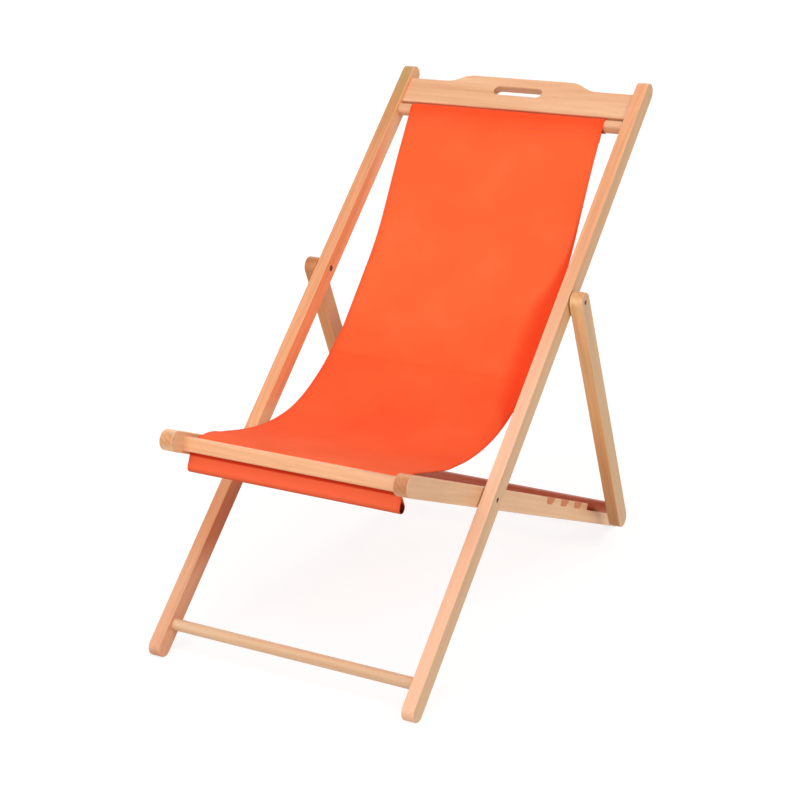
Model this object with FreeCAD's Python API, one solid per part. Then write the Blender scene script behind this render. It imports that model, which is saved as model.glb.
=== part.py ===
import FreeCAD, Part
import math
import os

# Folding deck chair of wood with a one-piece canvas sling, set to its most reclined position.
# Millimetres. +Z is up, the sitter faces -Y, +X is right as seen from the front.
# The origin is on the floor, under the middle of the chair.
# Places along a member are measured from its own reference point, away from the floor or rearward,
# and places across it are measured from its centre line, upward or forward side positive.

# Back frame: two stiles that run from the front feet to the crest
STILE_DEPTH = 36.0
STILE_THICK = 24.0
STILE_SPAN = 1310.0
STILES_OUTSIDE = 540.0
SEAT_PIVOT_AT = 404.0
PROP_PIVOT_AT = 824.0
STRETCHER_AT = 46.0
STRETCHER_DIA = 22.0
UPPER_DOWEL_BELOW_TOP = 89.0
UPPER_DOWEL_DIA = 25.0

# Crest rail between the stile tops, just above the cloth round the dowel
CREST_THICK = 20.0
CREST_GAP = 0.7
CREST_SHOULDER = 60.0
CREST_RISE = 18.0
CREST_FLAT = 210.0
CREST_OGEE = 62.0
CREST_EDGE = 2.5
HAND_SLOT_LENGTH = 104.0
HAND_SLOT_HEIGHT = 20.0
HAND_SLOT_BELOW_TOP = 23.0

# Seat frame: two rails inside the stiles, with the bars that hold the sling's lower end
RAIL_DEPTH = 38.0
RAIL_THICK = 26.0
RAIL_FRONT = 289.0
RAIL_REAR = 692.0
FRONT_BAR_SETBACK = 36.5
BAR_DEPTH = 22.0
BAR_HEIGHT = 26.0
BAR_TOP = 12.0
FRONT_BAR_ROUND = 8.0
KEEPER_ROUND = 5.0
BAR_EDGE = 3.0
SLING_GAP = 8.0
REAR_BAR_INSET = 37.0
REAR_BAR_DIA = 22.0

# Notches in the rails' top edges, each placed by the centre of the bar that lies in it
NOTCH_DEPTH = 13.3
NOTCH_FIRST = 314.0
NOTCH_PITCH = 72.0
NOTCH_COUNT = 3
NOTCH_RUN = 24.0
LAST_NOTCH_EXTRA = 32.0
NOTCH_REAR_SLOPE = 45.0

# Prop frame outside the stiles
PROP_DEPTH = 37.0
PROP_THICK = 25.0
PROP_BAR_AT = 535.0
PROP_TAIL = 22.5
PROP_BAR_DIA = 24.0

# Pivot bolts, nuts and washers
BOLT_DIA = 6.0
BOLT_HEAD_DIA = 10.0
BOLT_HEAD_HEIGHT = 4.0
BOLT_SOCKET_FLATS = 4.0
BOLT_SOCKET_DEPTH = 2.5
BOLT_TIP_CHAMFER = 1.0
HEAD_SUNK = 1.5
NUT_FLATS = 10.0
NUT_HEIGHT = 5.2
NUT_SUNK = 1.0
BOLT_PAST_NUT = 0.5
PIVOT_GAP = 2.0
WASHER_RIM = 6.0

# Wooden joints
TENON_DEPTH = 16.0
TENON_SHOULDER = 3.5
TENON_CHAMFER = 1.0
BRAD_DIA = 2.0
BRAD_LENGTH = 26.0
CREST_PIN_DIA = 8.0
CREST_PIN_SPACING = 30.0
BAR_PIN_DIA = 6.0
BAR_PIN_SPACING = 12.0
PIN_IN_SIDE = 14.0
PIN_IN_BAR = 19.0

# Canvas sling: one sheet with a hem round each dowel
SLING_LEFT_GAP = 1.0
SLING_RIGHT_GAP = 11.0
CLOTH = 1.5
LOWER_DOWEL_DIA = 16.0
LOWER_DOWEL_INSET = 8.0
UPPER_FLAP = 17.5
LOWER_FLAP = 12.0
HEM = 20.0
HEM_BELOW_EDGE = 1.0
SLING_TOP_HEADING = 239.3
BACK_RUN = 224.0
BACK_RADIUS = 515.0
BACK_TURN = 13.2
SEAT_RADIUS = 335.0
SEAT_TURN = 39.3
KNEE_RADIUS = 435.0
KNEE_TURN = 19.9
HANG_RADIUS = 12.0
HANG_RUN = 2.0

# Clearances
BOLT_CLEARANCE = 0.05
WASHER_CLEARANCE = 0.2
WASHER_PLAY = 0.1
HEAD_CLEARANCE = 0.3
NUT_CLEARANCE = 0.3
BAR_CLEARANCE = 0.3
CLOTH_CLEARANCE = 0.3
GLUE_GAP = 0.1
BRAD_CLEARANCE = 0.05

# Finish of the wood
ARRIS = 1.5
FOOT_FLAT = 0.8

# Degrees in a quarter and a full turn, and the length under which two places count as one
QUARTER_TURN = 90.0
FULL_TURN = 4 * QUARTER_TURN
SAME_PLACE = 1e-6

# Faces and centres that follow from the sizes above, on the right side of the chair
UPPER_DOWEL_AT = STILE_SPAN - UPPER_DOWEL_BELOW_TOP
STILE_OUT = STILES_OUTSIDE / 2
STILE_IN = STILE_OUT - STILE_THICK
RAIL_OUT = STILE_IN - PIVOT_GAP
RAIL_IN = RAIL_OUT - RAIL_THICK
PROP_IN = STILE_OUT + PIVOT_GAP
PROP_OUT = PROP_IN + PROP_THICK
FRONT_BAR_FACE = -(RAIL_FRONT + RAIL_DEPTH / 2 - FRONT_BAR_SETBACK)
KEEPER_FACE = FRONT_BAR_FACE + BAR_DEPTH + SLING_GAP
BAR_BOTTOM = BAR_TOP - BAR_HEIGHT
NOTCH_FLOOR = RAIL_DEPTH / 2 - NOTCH_DEPTH
BAR_SEAT = NOTCH_FLOOR + BAR_CLEARANCE + PROP_BAR_DIA / 2
LAST_NOTCH_AT = NOTCH_FIRST + NOTCH_COUNT * NOTCH_PITCH + LAST_NOTCH_EXTRA
LAST_NOTCH_RUN = NOTCH_RUN + LAST_NOTCH_EXTRA
CREST_BOTTOM_AT = UPPER_DOWEL_AT + UPPER_DOWEL_DIA / 2 + CLOTH_CLEARANCE + CLOTH + CREST_GAP
REAR_BAR_AT = RAIL_REAR - REAR_BAR_INSET
PROP_SPAN = PROP_BAR_AT + PROP_TAIL
HEAD_RECESS_DIA = BOLT_HEAD_DIA + 2 * HEAD_CLEARANCE
HEAD_RECESS_DEPTH = BOLT_HEAD_HEIGHT + HEAD_SUNK
NUT_CORNERS = 2 * NUT_FLATS / math.sqrt(3)
NUT_RECESS_DIA = NUT_CORNERS + 2 * NUT_CLEARANCE
NUT_RECESS_DEPTH = NUT_HEIGHT + NUT_SUNK
WASHER_THICK = PIVOT_GAP - WASHER_PLAY
WASHER_DIA = BOLT_DIA + 2 * WASHER_RIM
UPPER_LOOP = UPPER_DOWEL_DIA / 2 + UPPER_FLAP
LOWER_LOOP = LOWER_DOWEL_DIA / 2 + LOWER_FLAP
SLING_LOW = -RAIL_IN + SLING_LEFT_GAP
SLING_HIGH = RAIL_IN - SLING_RIGHT_GAP

nodes = {}


def polar(length, degrees):
    return (length * math.cos(math.radians(degrees)), length * math.sin(math.radians(degrees)))


def plus(a, b):
    return (a[0] + b[0], a[1] + b[1])


def minus(a, b):
    return (a[0] - b[0], a[1] - b[1])


def crossing(a, direction_a, b, direction_b):
    """The point where two lines in the side view meet."""
    det = direction_a[1] * direction_b[0] - direction_a[0] * direction_b[1]
    gap = minus(b, a)
    step = (gap[1] * direction_b[0] - gap[0] * direction_b[1]) / det
    return (a[0] + step * direction_a[0], a[1] + step * direction_a[1])


# Posture: the three bars of the linkage meet at the seat pivot, the prop pivot and the notch,
# and the feet of the stiles and the rear ends of the rails stand on the floor.
PIVOTS_APART = PROP_PIVOT_AT - SEAT_PIVOT_AT
PIVOT_TO_BAR = math.hypot(LAST_NOTCH_AT, BAR_SEAT)
corner_cosine = (PIVOTS_APART**2 + PIVOT_TO_BAR**2 - PROP_BAR_AT**2) / (2 * PIVOTS_APART * PIVOT_TO_BAR)
spread = math.acos(corner_cosine) + math.atan2(BAR_SEAT, LAST_NOTCH_AT)
lean_side = RAIL_REAR * math.sin(spread)
lean_base = SEAT_PIVOT_AT + RAIL_REAR * math.cos(spread)
end_rise = (RAIL_DEPTH - STILE_DEPTH) / 2
stile_lean = math.atan2(lean_side, lean_base) + math.asin(end_rise / math.hypot(lean_side, lean_base))
STILE_ANGLE = math.degrees(stile_lean)
RAIL_ANGLE = STILE_ANGLE - math.degrees(spread)
FOOT = (-STILE_SPAN * math.cos(stile_lean) / 2, STILE_DEPTH / 2 - FOOT_FLAT)
SEAT_PIVOT = plus(FOOT, polar(SEAT_PIVOT_AT, STILE_ANGLE))
PROP_PIVOT = plus(FOOT, polar(PROP_PIVOT_AT, STILE_ANGLE))
NOTCH_FOOT = plus(SEAT_PIVOT, polar(LAST_NOTCH_AT, RAIL_ANGLE))
NOTCH_POINT = plus(NOTCH_FOOT, polar(BAR_SEAT, RAIL_ANGLE + QUARTER_TURN))
prop_run = minus(NOTCH_POINT, PROP_PIVOT)
PROP_ANGLE = math.degrees(math.atan2(prop_run[1], prop_run[0]))


def member_frame(point, degrees):
    """Turns a member's own frame, along Y and across Z, into the chair's frame."""
    turn = FreeCAD.Rotation(FreeCAD.Vector(1, 0, 0), degrees)
    return FreeCAD.Placement(FreeCAD.Vector(0, point[0], point[1]), turn).toMatrix()


STILE_FRAME = member_frame(FOOT, STILE_ANGLE)
RAIL_FRAME = member_frame(SEAT_PIVOT, RAIL_ANGLE)
PROP_FRAME = member_frame(PROP_PIVOT, PROP_ANGLE)


def point(p, x=0.0):
    return FreeCAD.Vector(x, p[0], p[1])


def line(a, b, x=0.0):
    return Part.LineSegment(point(a, x), point(b, x)).toShape()


def arc(centre, radius, start, end, x=0.0):
    """An arc in the side view, from one heading to another, under a half circle."""
    ends = [plus(centre, polar(radius, degrees)) for degrees in (start, (start + end) / 2, end)]
    return Part.Arc(*[point(p, x) for p in ends]).toShape()


def rod(x_start, x_end, dia, along, across=0.0):
    """A cylinder along X."""
    start = point((along, across), x_start)
    return Part.makeCylinder(dia / 2, x_end - x_start, start, FreeCAD.Vector(1, 0, 0))


def hexagon(x_start, x_end, flats):
    """A hexagonal prism along X, on the pivot's own axis."""
    ring = [point(polar(flats / math.sqrt(3), 60 * i), x_start) for i in range(6)]
    face = Part.Face(Part.makePolygon(ring + ring[:1]))
    return face.extrude(FreeCAD.Vector(x_end - x_start, 0, 0))


def mirrored(shape):
    return shape.mirror(FreeCAD.Vector(0, 0, 0), FreeCAD.Vector(1, 0, 0))


def in_side_plane(edge):
    return edge.BoundBox.XLength < SAME_PLACE


def along_x(edge):
    box = edge.BoundBox
    return box.XLength > SAME_PLACE and max(box.YLength, box.ZLength) < SAME_PLACE


def flat_member(x_in, x_out, depth, start, end):
    """A bar of flat section with half-round ends and eased edges, between two round centres."""
    half = depth / 2
    outline = [
        line((start, -half), (end, -half), x_in),
        arc((end, 0), half, -QUARTER_TURN, 0, x_in),
        arc((end, 0), half, 0, QUARTER_TURN, x_in),
        line((end, half), (start, half), x_in),
        arc((start, 0), half, QUARTER_TURN, 2 * QUARTER_TURN, x_in),
        arc((start, 0), half, 2 * QUARTER_TURN, 3 * QUARTER_TURN, x_in),
    ]
    solid = Part.Face(Part.Wire(outline)).extrude(FreeCAD.Vector(x_out - x_in, 0, 0))
    return solid.makeFillet(ARRIS, [edge for edge in solid.Edges if in_side_plane(edge)])


def floor_cut(shape):
    """Saws off what is below the floor."""
    size = 2 * STILE_SPAN
    below = Part.makeBox(size, size, size, FreeCAD.Vector(-size / 2, -size / 2, -size))
    return shape.cut(below)


def turned_bar(x_side, dia, along, across=0.0):
    """A round bar between two side faces, with a shouldered tenon at each end."""
    tenon = dia - 2 * TENON_SHOULDER
    bar = rod(-x_side, x_side, dia, along, across)
    tip = x_side + TENON_DEPTH
    core = rod(-tip, tip, tenon, along, across)
    tips = [edge for edge in core.Edges if in_side_plane(edge)]
    return bar.fuse(core.makeChamfer(TENON_CHAMFER, tips)).removeSplitter()


def tenon_socket(x_side, dia, along, across=0.0):
    return rod(x_side, x_side + TENON_DEPTH, dia - 2 * TENON_SHOULDER + 2 * GLUE_GAP, along, across)


def brad(x_side, along, face, inward, clearance=0.0):
    """A nail that starts at a member's edge and goes through the tenon."""
    start = FreeCAD.Vector(x_side + TENON_DEPTH / 2, along, face)
    return Part.makeCylinder(BRAD_DIA / 2 + clearance, BRAD_LENGTH, start, FreeCAD.Vector(0, 0, inward))


def pin_holes(x_side, dia, spots):
    """Blind holes in a side member and in the end of the bar that meets it."""
    in_side = [rod(x_side, x_side + PIN_IN_SIDE, dia + 2 * GLUE_GAP, a, b) for a, b in spots]
    in_bar = [rod(x_side - PIN_IN_BAR, x_side, dia + 2 * GLUE_GAP, a, b) for a, b in spots]
    return in_side, in_bar


def dowel_pins(x_side, dia, spots):
    pins = [rod(x_side - PIN_IN_BAR, x_side + PIN_IN_SIDE, dia, a, b) for a, b in spots]
    return pins + [mirrored(pin) for pin in pins]


def add(name, shapes, matrix=None):
    """Keeps a node as one solid or as a group of like solids."""
    shapes = shapes if isinstance(shapes, list) else [shapes]
    if matrix:
        shapes = [shape.transformed(matrix) for shape in shapes]
    solids = [solid for shape in shapes for solid in shape.Solids]
    nodes[name] = solids[0] if len(solids) == 1 else Part.makeCompound(solids)


def add_pair(name, shape, matrix):
    """Keeps a right piece and its mirror image on the left."""
    placed = shape.transformed(matrix)
    add(name + "_right", placed)
    add(name + "_left", mirrored(placed))


def with_mirror(shapes):
    return shapes + [mirrored(shape) for shape in shapes]


# Places of the dowel pins, along and across their member
crest_middle = CREST_BOTTOM_AT + CREST_SHOULDER / 2
crest_spots = [(crest_middle + side * CREST_PIN_SPACING / 2, 0.0) for side in (-1, 1)]
bar_middle = (BAR_TOP + BAR_BOTTOM) / 2


def bar_spots(face):
    return [(face + BAR_DEPTH / 2, bar_middle + side * BAR_PIN_SPACING / 2) for side in (-1, 1)]


def build_stiles():
    stile = flat_member(STILE_IN, STILE_OUT, STILE_DEPTH, 0, STILE_SPAN)
    bore = BOLT_DIA + 2 * BOLT_CLEARANCE
    cuts = [
        rod(STILE_IN, STILE_OUT, bore, SEAT_PIVOT_AT),
        rod(STILE_OUT - HEAD_RECESS_DEPTH, STILE_OUT, HEAD_RECESS_DIA, SEAT_PIVOT_AT),
        rod(STILE_IN, STILE_OUT, bore, PROP_PIVOT_AT),
        rod(STILE_IN, STILE_IN + NUT_RECESS_DEPTH, NUT_RECESS_DIA, PROP_PIVOT_AT),
        tenon_socket(STILE_IN, STRETCHER_DIA, STRETCHER_AT),
        tenon_socket(STILE_IN, UPPER_DOWEL_DIA, UPPER_DOWEL_AT),
        brad(STILE_IN, STRETCHER_AT, -STILE_DEPTH / 2, 1, BRAD_CLEARANCE),
        brad(STILE_IN, UPPER_DOWEL_AT, -STILE_DEPTH / 2, 1, BRAD_CLEARANCE),
    ]
    cuts += pin_holes(STILE_IN, CREST_PIN_DIA, crest_spots)[0]
    placed = floor_cut(stile.cut(cuts).transformed(STILE_FRAME))
    add("stile_right", placed)
    add("stile_left", mirrored(placed))


def build_crest_rail():
    half = CREST_FLAT / 2
    shoulder = half + CREST_OGEE
    low = CREST_BOTTOM_AT
    mid = low + CREST_SHOULDER
    top = mid + CREST_RISE
    radius = (CREST_OGEE**2 + CREST_RISE**2) / (4 * CREST_RISE)
    turn = math.degrees(math.asin(CREST_OGEE / 2 / radius))
    back = -CREST_THICK / 2

    def at(x, along):
        return FreeCAD.Vector(x, along, back)

    def straight(a, b):
        return Part.LineSegment(at(*a), at(*b)).toShape()

    def bend(centre, start, end):
        spots = [plus(centre, polar(radius, degrees)) for degrees in (start, (start + end) / 2, end)]
        return Part.Arc(*[at(*spot) for spot in spots]).toShape()

    outline = [
        straight((-STILE_IN, low), (STILE_IN, low)),
        straight((STILE_IN, low), (STILE_IN, mid)),
        straight((STILE_IN, mid), (shoulder, mid)),
        bend((shoulder, mid + radius), -QUARTER_TURN, -QUARTER_TURN - turn),
        bend((half, top - radius), QUARTER_TURN - turn, QUARTER_TURN),
        straight((half, top), (-half, top)),
        bend((-half, top - radius), QUARTER_TURN, QUARTER_TURN + turn),
        bend((-shoulder, mid + radius), turn - QUARTER_TURN, -QUARTER_TURN),
        straight((-shoulder, mid), (-STILE_IN, mid)),
        straight((-STILE_IN, mid), (-STILE_IN, low)),
    ]
    board = Part.Face(Part.Wire(outline)).extrude(FreeCAD.Vector(0, 0, CREST_THICK))
    slot_half = (HAND_SLOT_LENGTH - HAND_SLOT_HEIGHT) / 2
    slot_middle = top - HAND_SLOT_BELOW_TOP - HAND_SLOT_HEIGHT / 2
    slot_box = Part.makeBox(2 * slot_half, HAND_SLOT_HEIGHT, CREST_THICK,
                            at(-slot_half, slot_middle - HAND_SLOT_HEIGHT / 2))
    slot = slot_box
    for side in (-1, 1):
        end = Part.makeCylinder(HAND_SLOT_HEIGHT / 2, CREST_THICK, at(side * slot_half, slot_middle))
        slot = slot.fuse(end)
    board = board.cut(slot.removeSplitter())

    def is_face_edge(edge):
        box = edge.BoundBox
        on_face = box.ZLength < SAME_PLACE
        at_end = box.XLength < SAME_PLACE and abs(abs(box.XMin) - STILE_IN) < SAME_PLACE
        return on_face and not at_end

    board = board.makeFillet(CREST_EDGE, [edge for edge in board.Edges if is_face_edge(edge)])
    holes = with_mirror(pin_holes(STILE_IN, CREST_PIN_DIA, crest_spots)[1])
    add("crest_rail", board.cut(holes), STILE_FRAME)
    add("crest_rail_pins", dowel_pins(STILE_IN, CREST_PIN_DIA, crest_spots), STILE_FRAME)


def build_back_bars():
    for name, brads_name, dia, place in (
        ("upper_sling_dowel", "upper_dowel_brads", UPPER_DOWEL_DIA, UPPER_DOWEL_AT),
        ("foot_stretcher", "stretcher_brads", STRETCHER_DIA, STRETCHER_AT),
    ):
        face = -STILE_DEPTH / 2
        holes = with_mirror([brad(STILE_IN, place, face, 1, BRAD_CLEARANCE)])
        add(name, turned_bar(STILE_IN, dia, place).cut(holes), STILE_FRAME)
        add(brads_name, with_mirror([brad(STILE_IN, place, face, 1)]), STILE_FRAME)


def notch_cut(centre, run):
    """The space of one notch: a square front wall, a flat floor and a sloping rear wall."""
    reach = PROP_BAR_DIA / 2 + BAR_CLEARANCE
    foot = centre + reach * math.tan(math.radians(NOTCH_REAR_SLOPE / 2))
    above = 2 * RAIL_DEPTH
    rise = above - NOTCH_FLOOR
    lip = foot + rise / math.tan(math.radians(NOTCH_REAR_SLOPE))
    corners = [(centre - run, NOTCH_FLOOR), (foot, NOTCH_FLOOR), (lip, above), (centre - run, above)]
    ring = [point(corner, RAIL_IN - ARRIS) for corner in corners + corners[:1]]
    width = RAIL_THICK + 2 * ARRIS
    return Part.Face(Part.makePolygon(ring)).extrude(FreeCAD.Vector(width, 0, 0))


def build_rails():
    rail = flat_member(RAIL_IN, RAIL_OUT, RAIL_DEPTH, -RAIL_FRONT, RAIL_REAR)
    cuts = [notch_cut(NOTCH_FIRST + i * NOTCH_PITCH, NOTCH_RUN) for i in range(NOTCH_COUNT)]
    cuts.append(notch_cut(LAST_NOTCH_AT, LAST_NOTCH_RUN))
    cuts.append(rod(RAIL_IN, RAIL_OUT, BOLT_DIA + 2 * BOLT_CLEARANCE, 0))
    cuts.append(rod(RAIL_IN, RAIL_IN + NUT_RECESS_DEPTH, NUT_RECESS_DIA, 0))
    cuts.append(tenon_socket(RAIL_IN, REAR_BAR_DIA, REAR_BAR_AT))
    cuts.append(brad(RAIL_IN, REAR_BAR_AT, -RAIL_DEPTH / 2, 1, BRAD_CLEARANCE))
    for face in (FRONT_BAR_FACE, KEEPER_FACE):
        cuts += pin_holes(RAIL_IN, BAR_PIN_DIA, bar_spots(face))[0]
    placed = floor_cut(rail.cut(cuts).transformed(RAIL_FRAME))
    add("seat_rail_right", placed)
    add("seat_rail_left", mirrored(placed))


def build_seat_bars():
    for name, face, front_round in (
        ("front_bar", FRONT_BAR_FACE, FRONT_BAR_ROUND),
        ("keeper_bar", KEEPER_FACE, KEEPER_ROUND),
    ):
        start = FreeCAD.Vector(-RAIL_IN, face, BAR_BOTTOM)
        bar = Part.makeBox(2 * RAIL_IN, BAR_DEPTH, BAR_HEIGHT, start)
        long_edges = [edge for edge in bar.Edges if along_x(edge)]
        top_edges = [edge for edge in long_edges if edge.BoundBox.ZMin > bar_middle]
        front_edges = [edge for edge in top_edges if edge.BoundBox.YMin < face + SAME_PLACE]
        bar = bar.makeFillet(front_round, front_edges)
        corners = [(face, BAR_BOTTOM), (face + BAR_DEPTH, BAR_BOTTOM), (face + BAR_DEPTH, BAR_TOP)]

        def is_corner(edge):
            middle = edge.CenterOfMass
            return along_x(edge) and any(
                math.hypot(middle.y - y, middle.z - z) < SAME_PLACE for y, z in corners
            )

        bar = bar.makeFillet(BAR_EDGE, [edge for edge in bar.Edges if is_corner(edge)])
        spots = bar_spots(face)
        holes = with_mirror(pin_holes(RAIL_IN, BAR_PIN_DIA, spots)[1])
        add(name, bar.cut(holes), RAIL_FRAME)
        add(name + "_pins", dowel_pins(RAIL_IN, BAR_PIN_DIA, spots), RAIL_FRAME)
    edge_face = -RAIL_DEPTH / 2
    holes = with_mirror([brad(RAIL_IN, REAR_BAR_AT, edge_face, 1, BRAD_CLEARANCE)])
    add("rear_cross_bar", turned_bar(RAIL_IN, REAR_BAR_DIA, REAR_BAR_AT).cut(holes), RAIL_FRAME)
    add("rear_bar_brads", with_mirror([brad(RAIL_IN, REAR_BAR_AT, edge_face, 1)]), RAIL_FRAME)


def build_props():
    strut = flat_member(PROP_IN, PROP_OUT, PROP_DEPTH, 0, PROP_SPAN)
    cuts = [
        rod(PROP_IN, PROP_OUT, BOLT_DIA + 2 * BOLT_CLEARANCE, 0),
        rod(PROP_OUT - HEAD_RECESS_DEPTH, PROP_OUT, HEAD_RECESS_DIA, 0),
        tenon_socket(PROP_IN, PROP_BAR_DIA, PROP_BAR_AT),
        brad(PROP_IN, PROP_BAR_AT, PROP_DEPTH / 2, -1, BRAD_CLEARANCE),
    ]
    add_pair("prop_strut", strut.cut(cuts), PROP_FRAME)
    holes = with_mirror([brad(PROP_IN, PROP_BAR_AT, PROP_DEPTH / 2, -1, BRAD_CLEARANCE)])
    add("prop_bar", turned_bar(PROP_IN, PROP_BAR_DIA, PROP_BAR_AT).cut(holes), PROP_FRAME)
    add("prop_bar_brads", with_mirror([brad(PROP_IN, PROP_BAR_AT, PROP_DEPTH / 2, -1)]), PROP_FRAME)


def bolt(x_head, x_tip):
    """A low-head bolt along X, with its head's seat at x_head and its tip further in."""
    shank = rod(x_tip, x_head, BOLT_DIA, 0)
    ends = [edge for edge in shank.Edges if in_side_plane(edge)]
    tip = [edge for edge in ends if edge.BoundBox.XMax < x_tip + SAME_PLACE]
    shank = shank.makeChamfer(BOLT_TIP_CHAMFER, tip)
    x_top = x_head + BOLT_HEAD_HEIGHT
    head = rod(x_head, x_top, BOLT_HEAD_DIA, 0)
    ends = [edge for edge in head.Edges if in_side_plane(edge)]
    rim = [edge for edge in ends if edge.BoundBox.XMin > x_top - SAME_PLACE]
    head = head.makeFillet(BOLT_TIP_CHAMFER, rim)
    socket = hexagon(x_top - BOLT_SOCKET_DEPTH, x_top, BOLT_SOCKET_FLATS)
    return shank.fuse(head.cut(socket)).removeSplitter()


def nut(x_seat):
    """A hexagon nut along X, with its seat at x_seat, its corners turned off on the other face."""
    body = hexagon(x_seat - NUT_HEIGHT, x_seat, NUT_FLATS)
    corner = NUT_CORNERS / 2
    flat = NUT_FLATS / 2
    cone_length = (corner - flat) * math.sqrt(3)
    x_free = x_seat - NUT_HEIGHT
    axis = FreeCAD.Vector(1, 0, 0)
    cone = Part.makeCone(flat, corner, cone_length, FreeCAD.Vector(x_free, 0, 0), axis)
    rest_start = FreeCAD.Vector(x_free + cone_length, 0, 0)
    rest = Part.makeCylinder(corner, NUT_HEIGHT - cone_length, rest_start, axis)
    return body.common(cone.fuse(rest)).cut(rod(x_free, x_seat, BOLT_DIA + 2 * BOLT_CLEARANCE, 0))


def washer(x_side):
    """A flat washer that lies on the face at x_side."""
    ring = rod(x_side, x_side + WASHER_THICK, WASHER_DIA, 0)
    return ring.cut(rod(x_side, x_side + WASHER_THICK, BOLT_DIA + 2 * WASHER_CLEARANCE, 0))


def build_pivots():
    seat_matrix = member_frame(SEAT_PIVOT, 0)
    seat_nut_at = RAIL_IN + NUT_RECESS_DEPTH
    seat_tip = seat_nut_at - NUT_HEIGHT - BOLT_PAST_NUT
    add_pair("seat_pivot_bolt", bolt(STILE_OUT - HEAD_RECESS_DEPTH, seat_tip), seat_matrix)
    add_pair("seat_pivot_nut", nut(seat_nut_at), seat_matrix)
    add_pair("seat_pivot_washer", washer(STILE_IN - WASHER_THICK), seat_matrix)
    prop_matrix = member_frame(PROP_PIVOT, 0)
    prop_nut_at = STILE_IN + NUT_RECESS_DEPTH
    prop_tip = prop_nut_at - NUT_HEIGHT - BOLT_PAST_NUT
    add_pair("prop_pivot_bolt", bolt(PROP_OUT - HEAD_RECESS_DEPTH, prop_tip), prop_matrix)
    add_pair("prop_pivot_nut", nut(prop_nut_at), prop_matrix)
    add_pair("prop_pivot_washer", washer(STILE_OUT), prop_matrix)


# Sling, drawn in the side view along the cloth's middle line from the upper dowel down.
# A pose is a point and a heading. Left of the heading is the cloth's underside.
UPPER_DOWEL = plus(FOOT, polar(UPPER_DOWEL_AT, STILE_ANGLE))
UPPER_INNER = UPPER_DOWEL_DIA / 2 + CLOTH_CLEARANCE
LOWER_INNER = LOWER_DOWEL_DIA / 2 + CLOTH_CLEARANCE
KEEPER_BEND = KEEPER_ROUND + CLOTH_CLEARANCE + CLOTH / 2
KEEPER_CENTRE = plus(
    plus(SEAT_PIVOT, polar(KEEPER_FACE + KEEPER_ROUND, RAIL_ANGLE)),
    polar(BAR_TOP - KEEPER_ROUND, RAIL_ANGLE + QUARTER_TURN),
)
GAP_HEADING = RAIL_ANGLE + 3 * QUARTER_TURN
DOWN_HEADING = 3 * QUARTER_TURN


def bend_shift(radius, heading, turn):
    """How far a bend moves the pose; a positive turn is to the right."""
    side = 1 if turn > 0 else -1
    square = heading - QUARTER_TURN
    return minus(polar(radius * side, square), polar(radius * side, square - turn))


def sling_moves():
    """The moves from the upper dowel to the apex of the lower loop, as lengths and bends."""
    start = plus(UPPER_DOWEL, polar(UPPER_INNER + CLOTH / 2, SLING_TOP_HEADING - QUARTER_TURN))
    heading = SLING_TOP_HEADING
    here = plus(start, polar(BACK_RUN, heading))
    here = plus(here, bend_shift(BACK_RADIUS, heading, BACK_TURN))
    middle_heading = heading - BACK_TURN
    seat_heading = middle_heading - SEAT_TURN
    front_heading = seat_heading - KNEE_TURN
    keeper_touch = plus(KEEPER_CENTRE, polar(KEEPER_BEND, front_heading - QUARTER_TURN))
    bends = plus(
        bend_shift(SEAT_RADIUS, middle_heading, SEAT_TURN),
        bend_shift(KNEE_RADIUS, seat_heading, KNEE_TURN),
    )
    target = minus(keeper_touch, bends)
    meet = crossing(here, polar(1, middle_heading), target, polar(1, front_heading))
    middle_run = math.dist(here, meet)
    front_run = math.dist(meet, target)
    lower_hem = BAR_HEIGHT - KEEPER_ROUND - HEM_BELOW_EDGE
    return start, [
        (UPPER_LOOP, 0), (HEM, 0), (BACK_RUN - UPPER_LOOP - HEM, 0), (BACK_RADIUS, BACK_TURN),
        (middle_run, 0),
        (SEAT_RADIUS, SEAT_TURN), (KNEE_RADIUS, KNEE_TURN), (front_run, 0),
        (KEEPER_BEND, front_heading - GAP_HEADING), (HEM_BELOW_EDGE, 0),
        (lower_hem, 0), (HANG_RADIUS, GAP_HEADING - DOWN_HEADING), (HANG_RUN, 0),
    ]


def side_edges(pose, moves, offset):
    """Edges beside the middle line, at an offset to the left of the heading."""
    here, heading = pose
    edges = []
    for size, turn in moves:
        begin = plus(here, polar(offset, heading + QUARTER_TURN))
        if turn == 0:
            here = plus(here, polar(size, heading))
            edges.append((begin, plus(here, polar(offset, heading + QUARTER_TURN)), None))
            continue
        side = 1 if turn > 0 else -1
        centre = plus(here, polar(size, heading - QUARTER_TURN * side))
        here = plus(here, bend_shift(size, heading, turn))
        outward = heading + QUARTER_TURN * side
        bend = (centre, size + offset * side, outward, outward - turn)
        heading = heading - turn
        edges.append((begin, plus(here, polar(offset, heading + QUARTER_TURN)), bend))
    return edges, (here, heading)


def ring_edges(centre, radius, start, end):
    """A long arc as two arcs of under a half circle."""
    middle = (start + end) / 2
    return [
        (plus(centre, polar(radius, a)), plus(centre, polar(radius, b)), (centre, radius, a, b))
        for a, b in ((start, middle), (middle, end))
    ]


def closed_wire(edges, x):
    """Joins edges in order, with a straight step wherever two ends don't meet."""
    shapes = []
    for i, (begin, end, bend) in enumerate(edges):
        shapes.append(arc(*bend, x) if bend else line(begin, end, x))
        following = edges[(i + 1) % len(edges)][0]
        if math.dist(end, following) > SAME_PLACE:
            shapes.append(line(end, following, x))
    return Part.Wire(shapes)


def ended_at(edges, corner):
    """Ends the last straight edge at a corner."""
    return edges[:-1] + [(edges[-1][0], corner, None)]


def reversed_edges(edges):
    swapped = []
    for begin, end, bend in reversed(edges):
        turned = (bend[0], bend[1], bend[3], bend[2]) if bend else None
        swapped.append((end, begin, turned))
    return swapped


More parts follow.
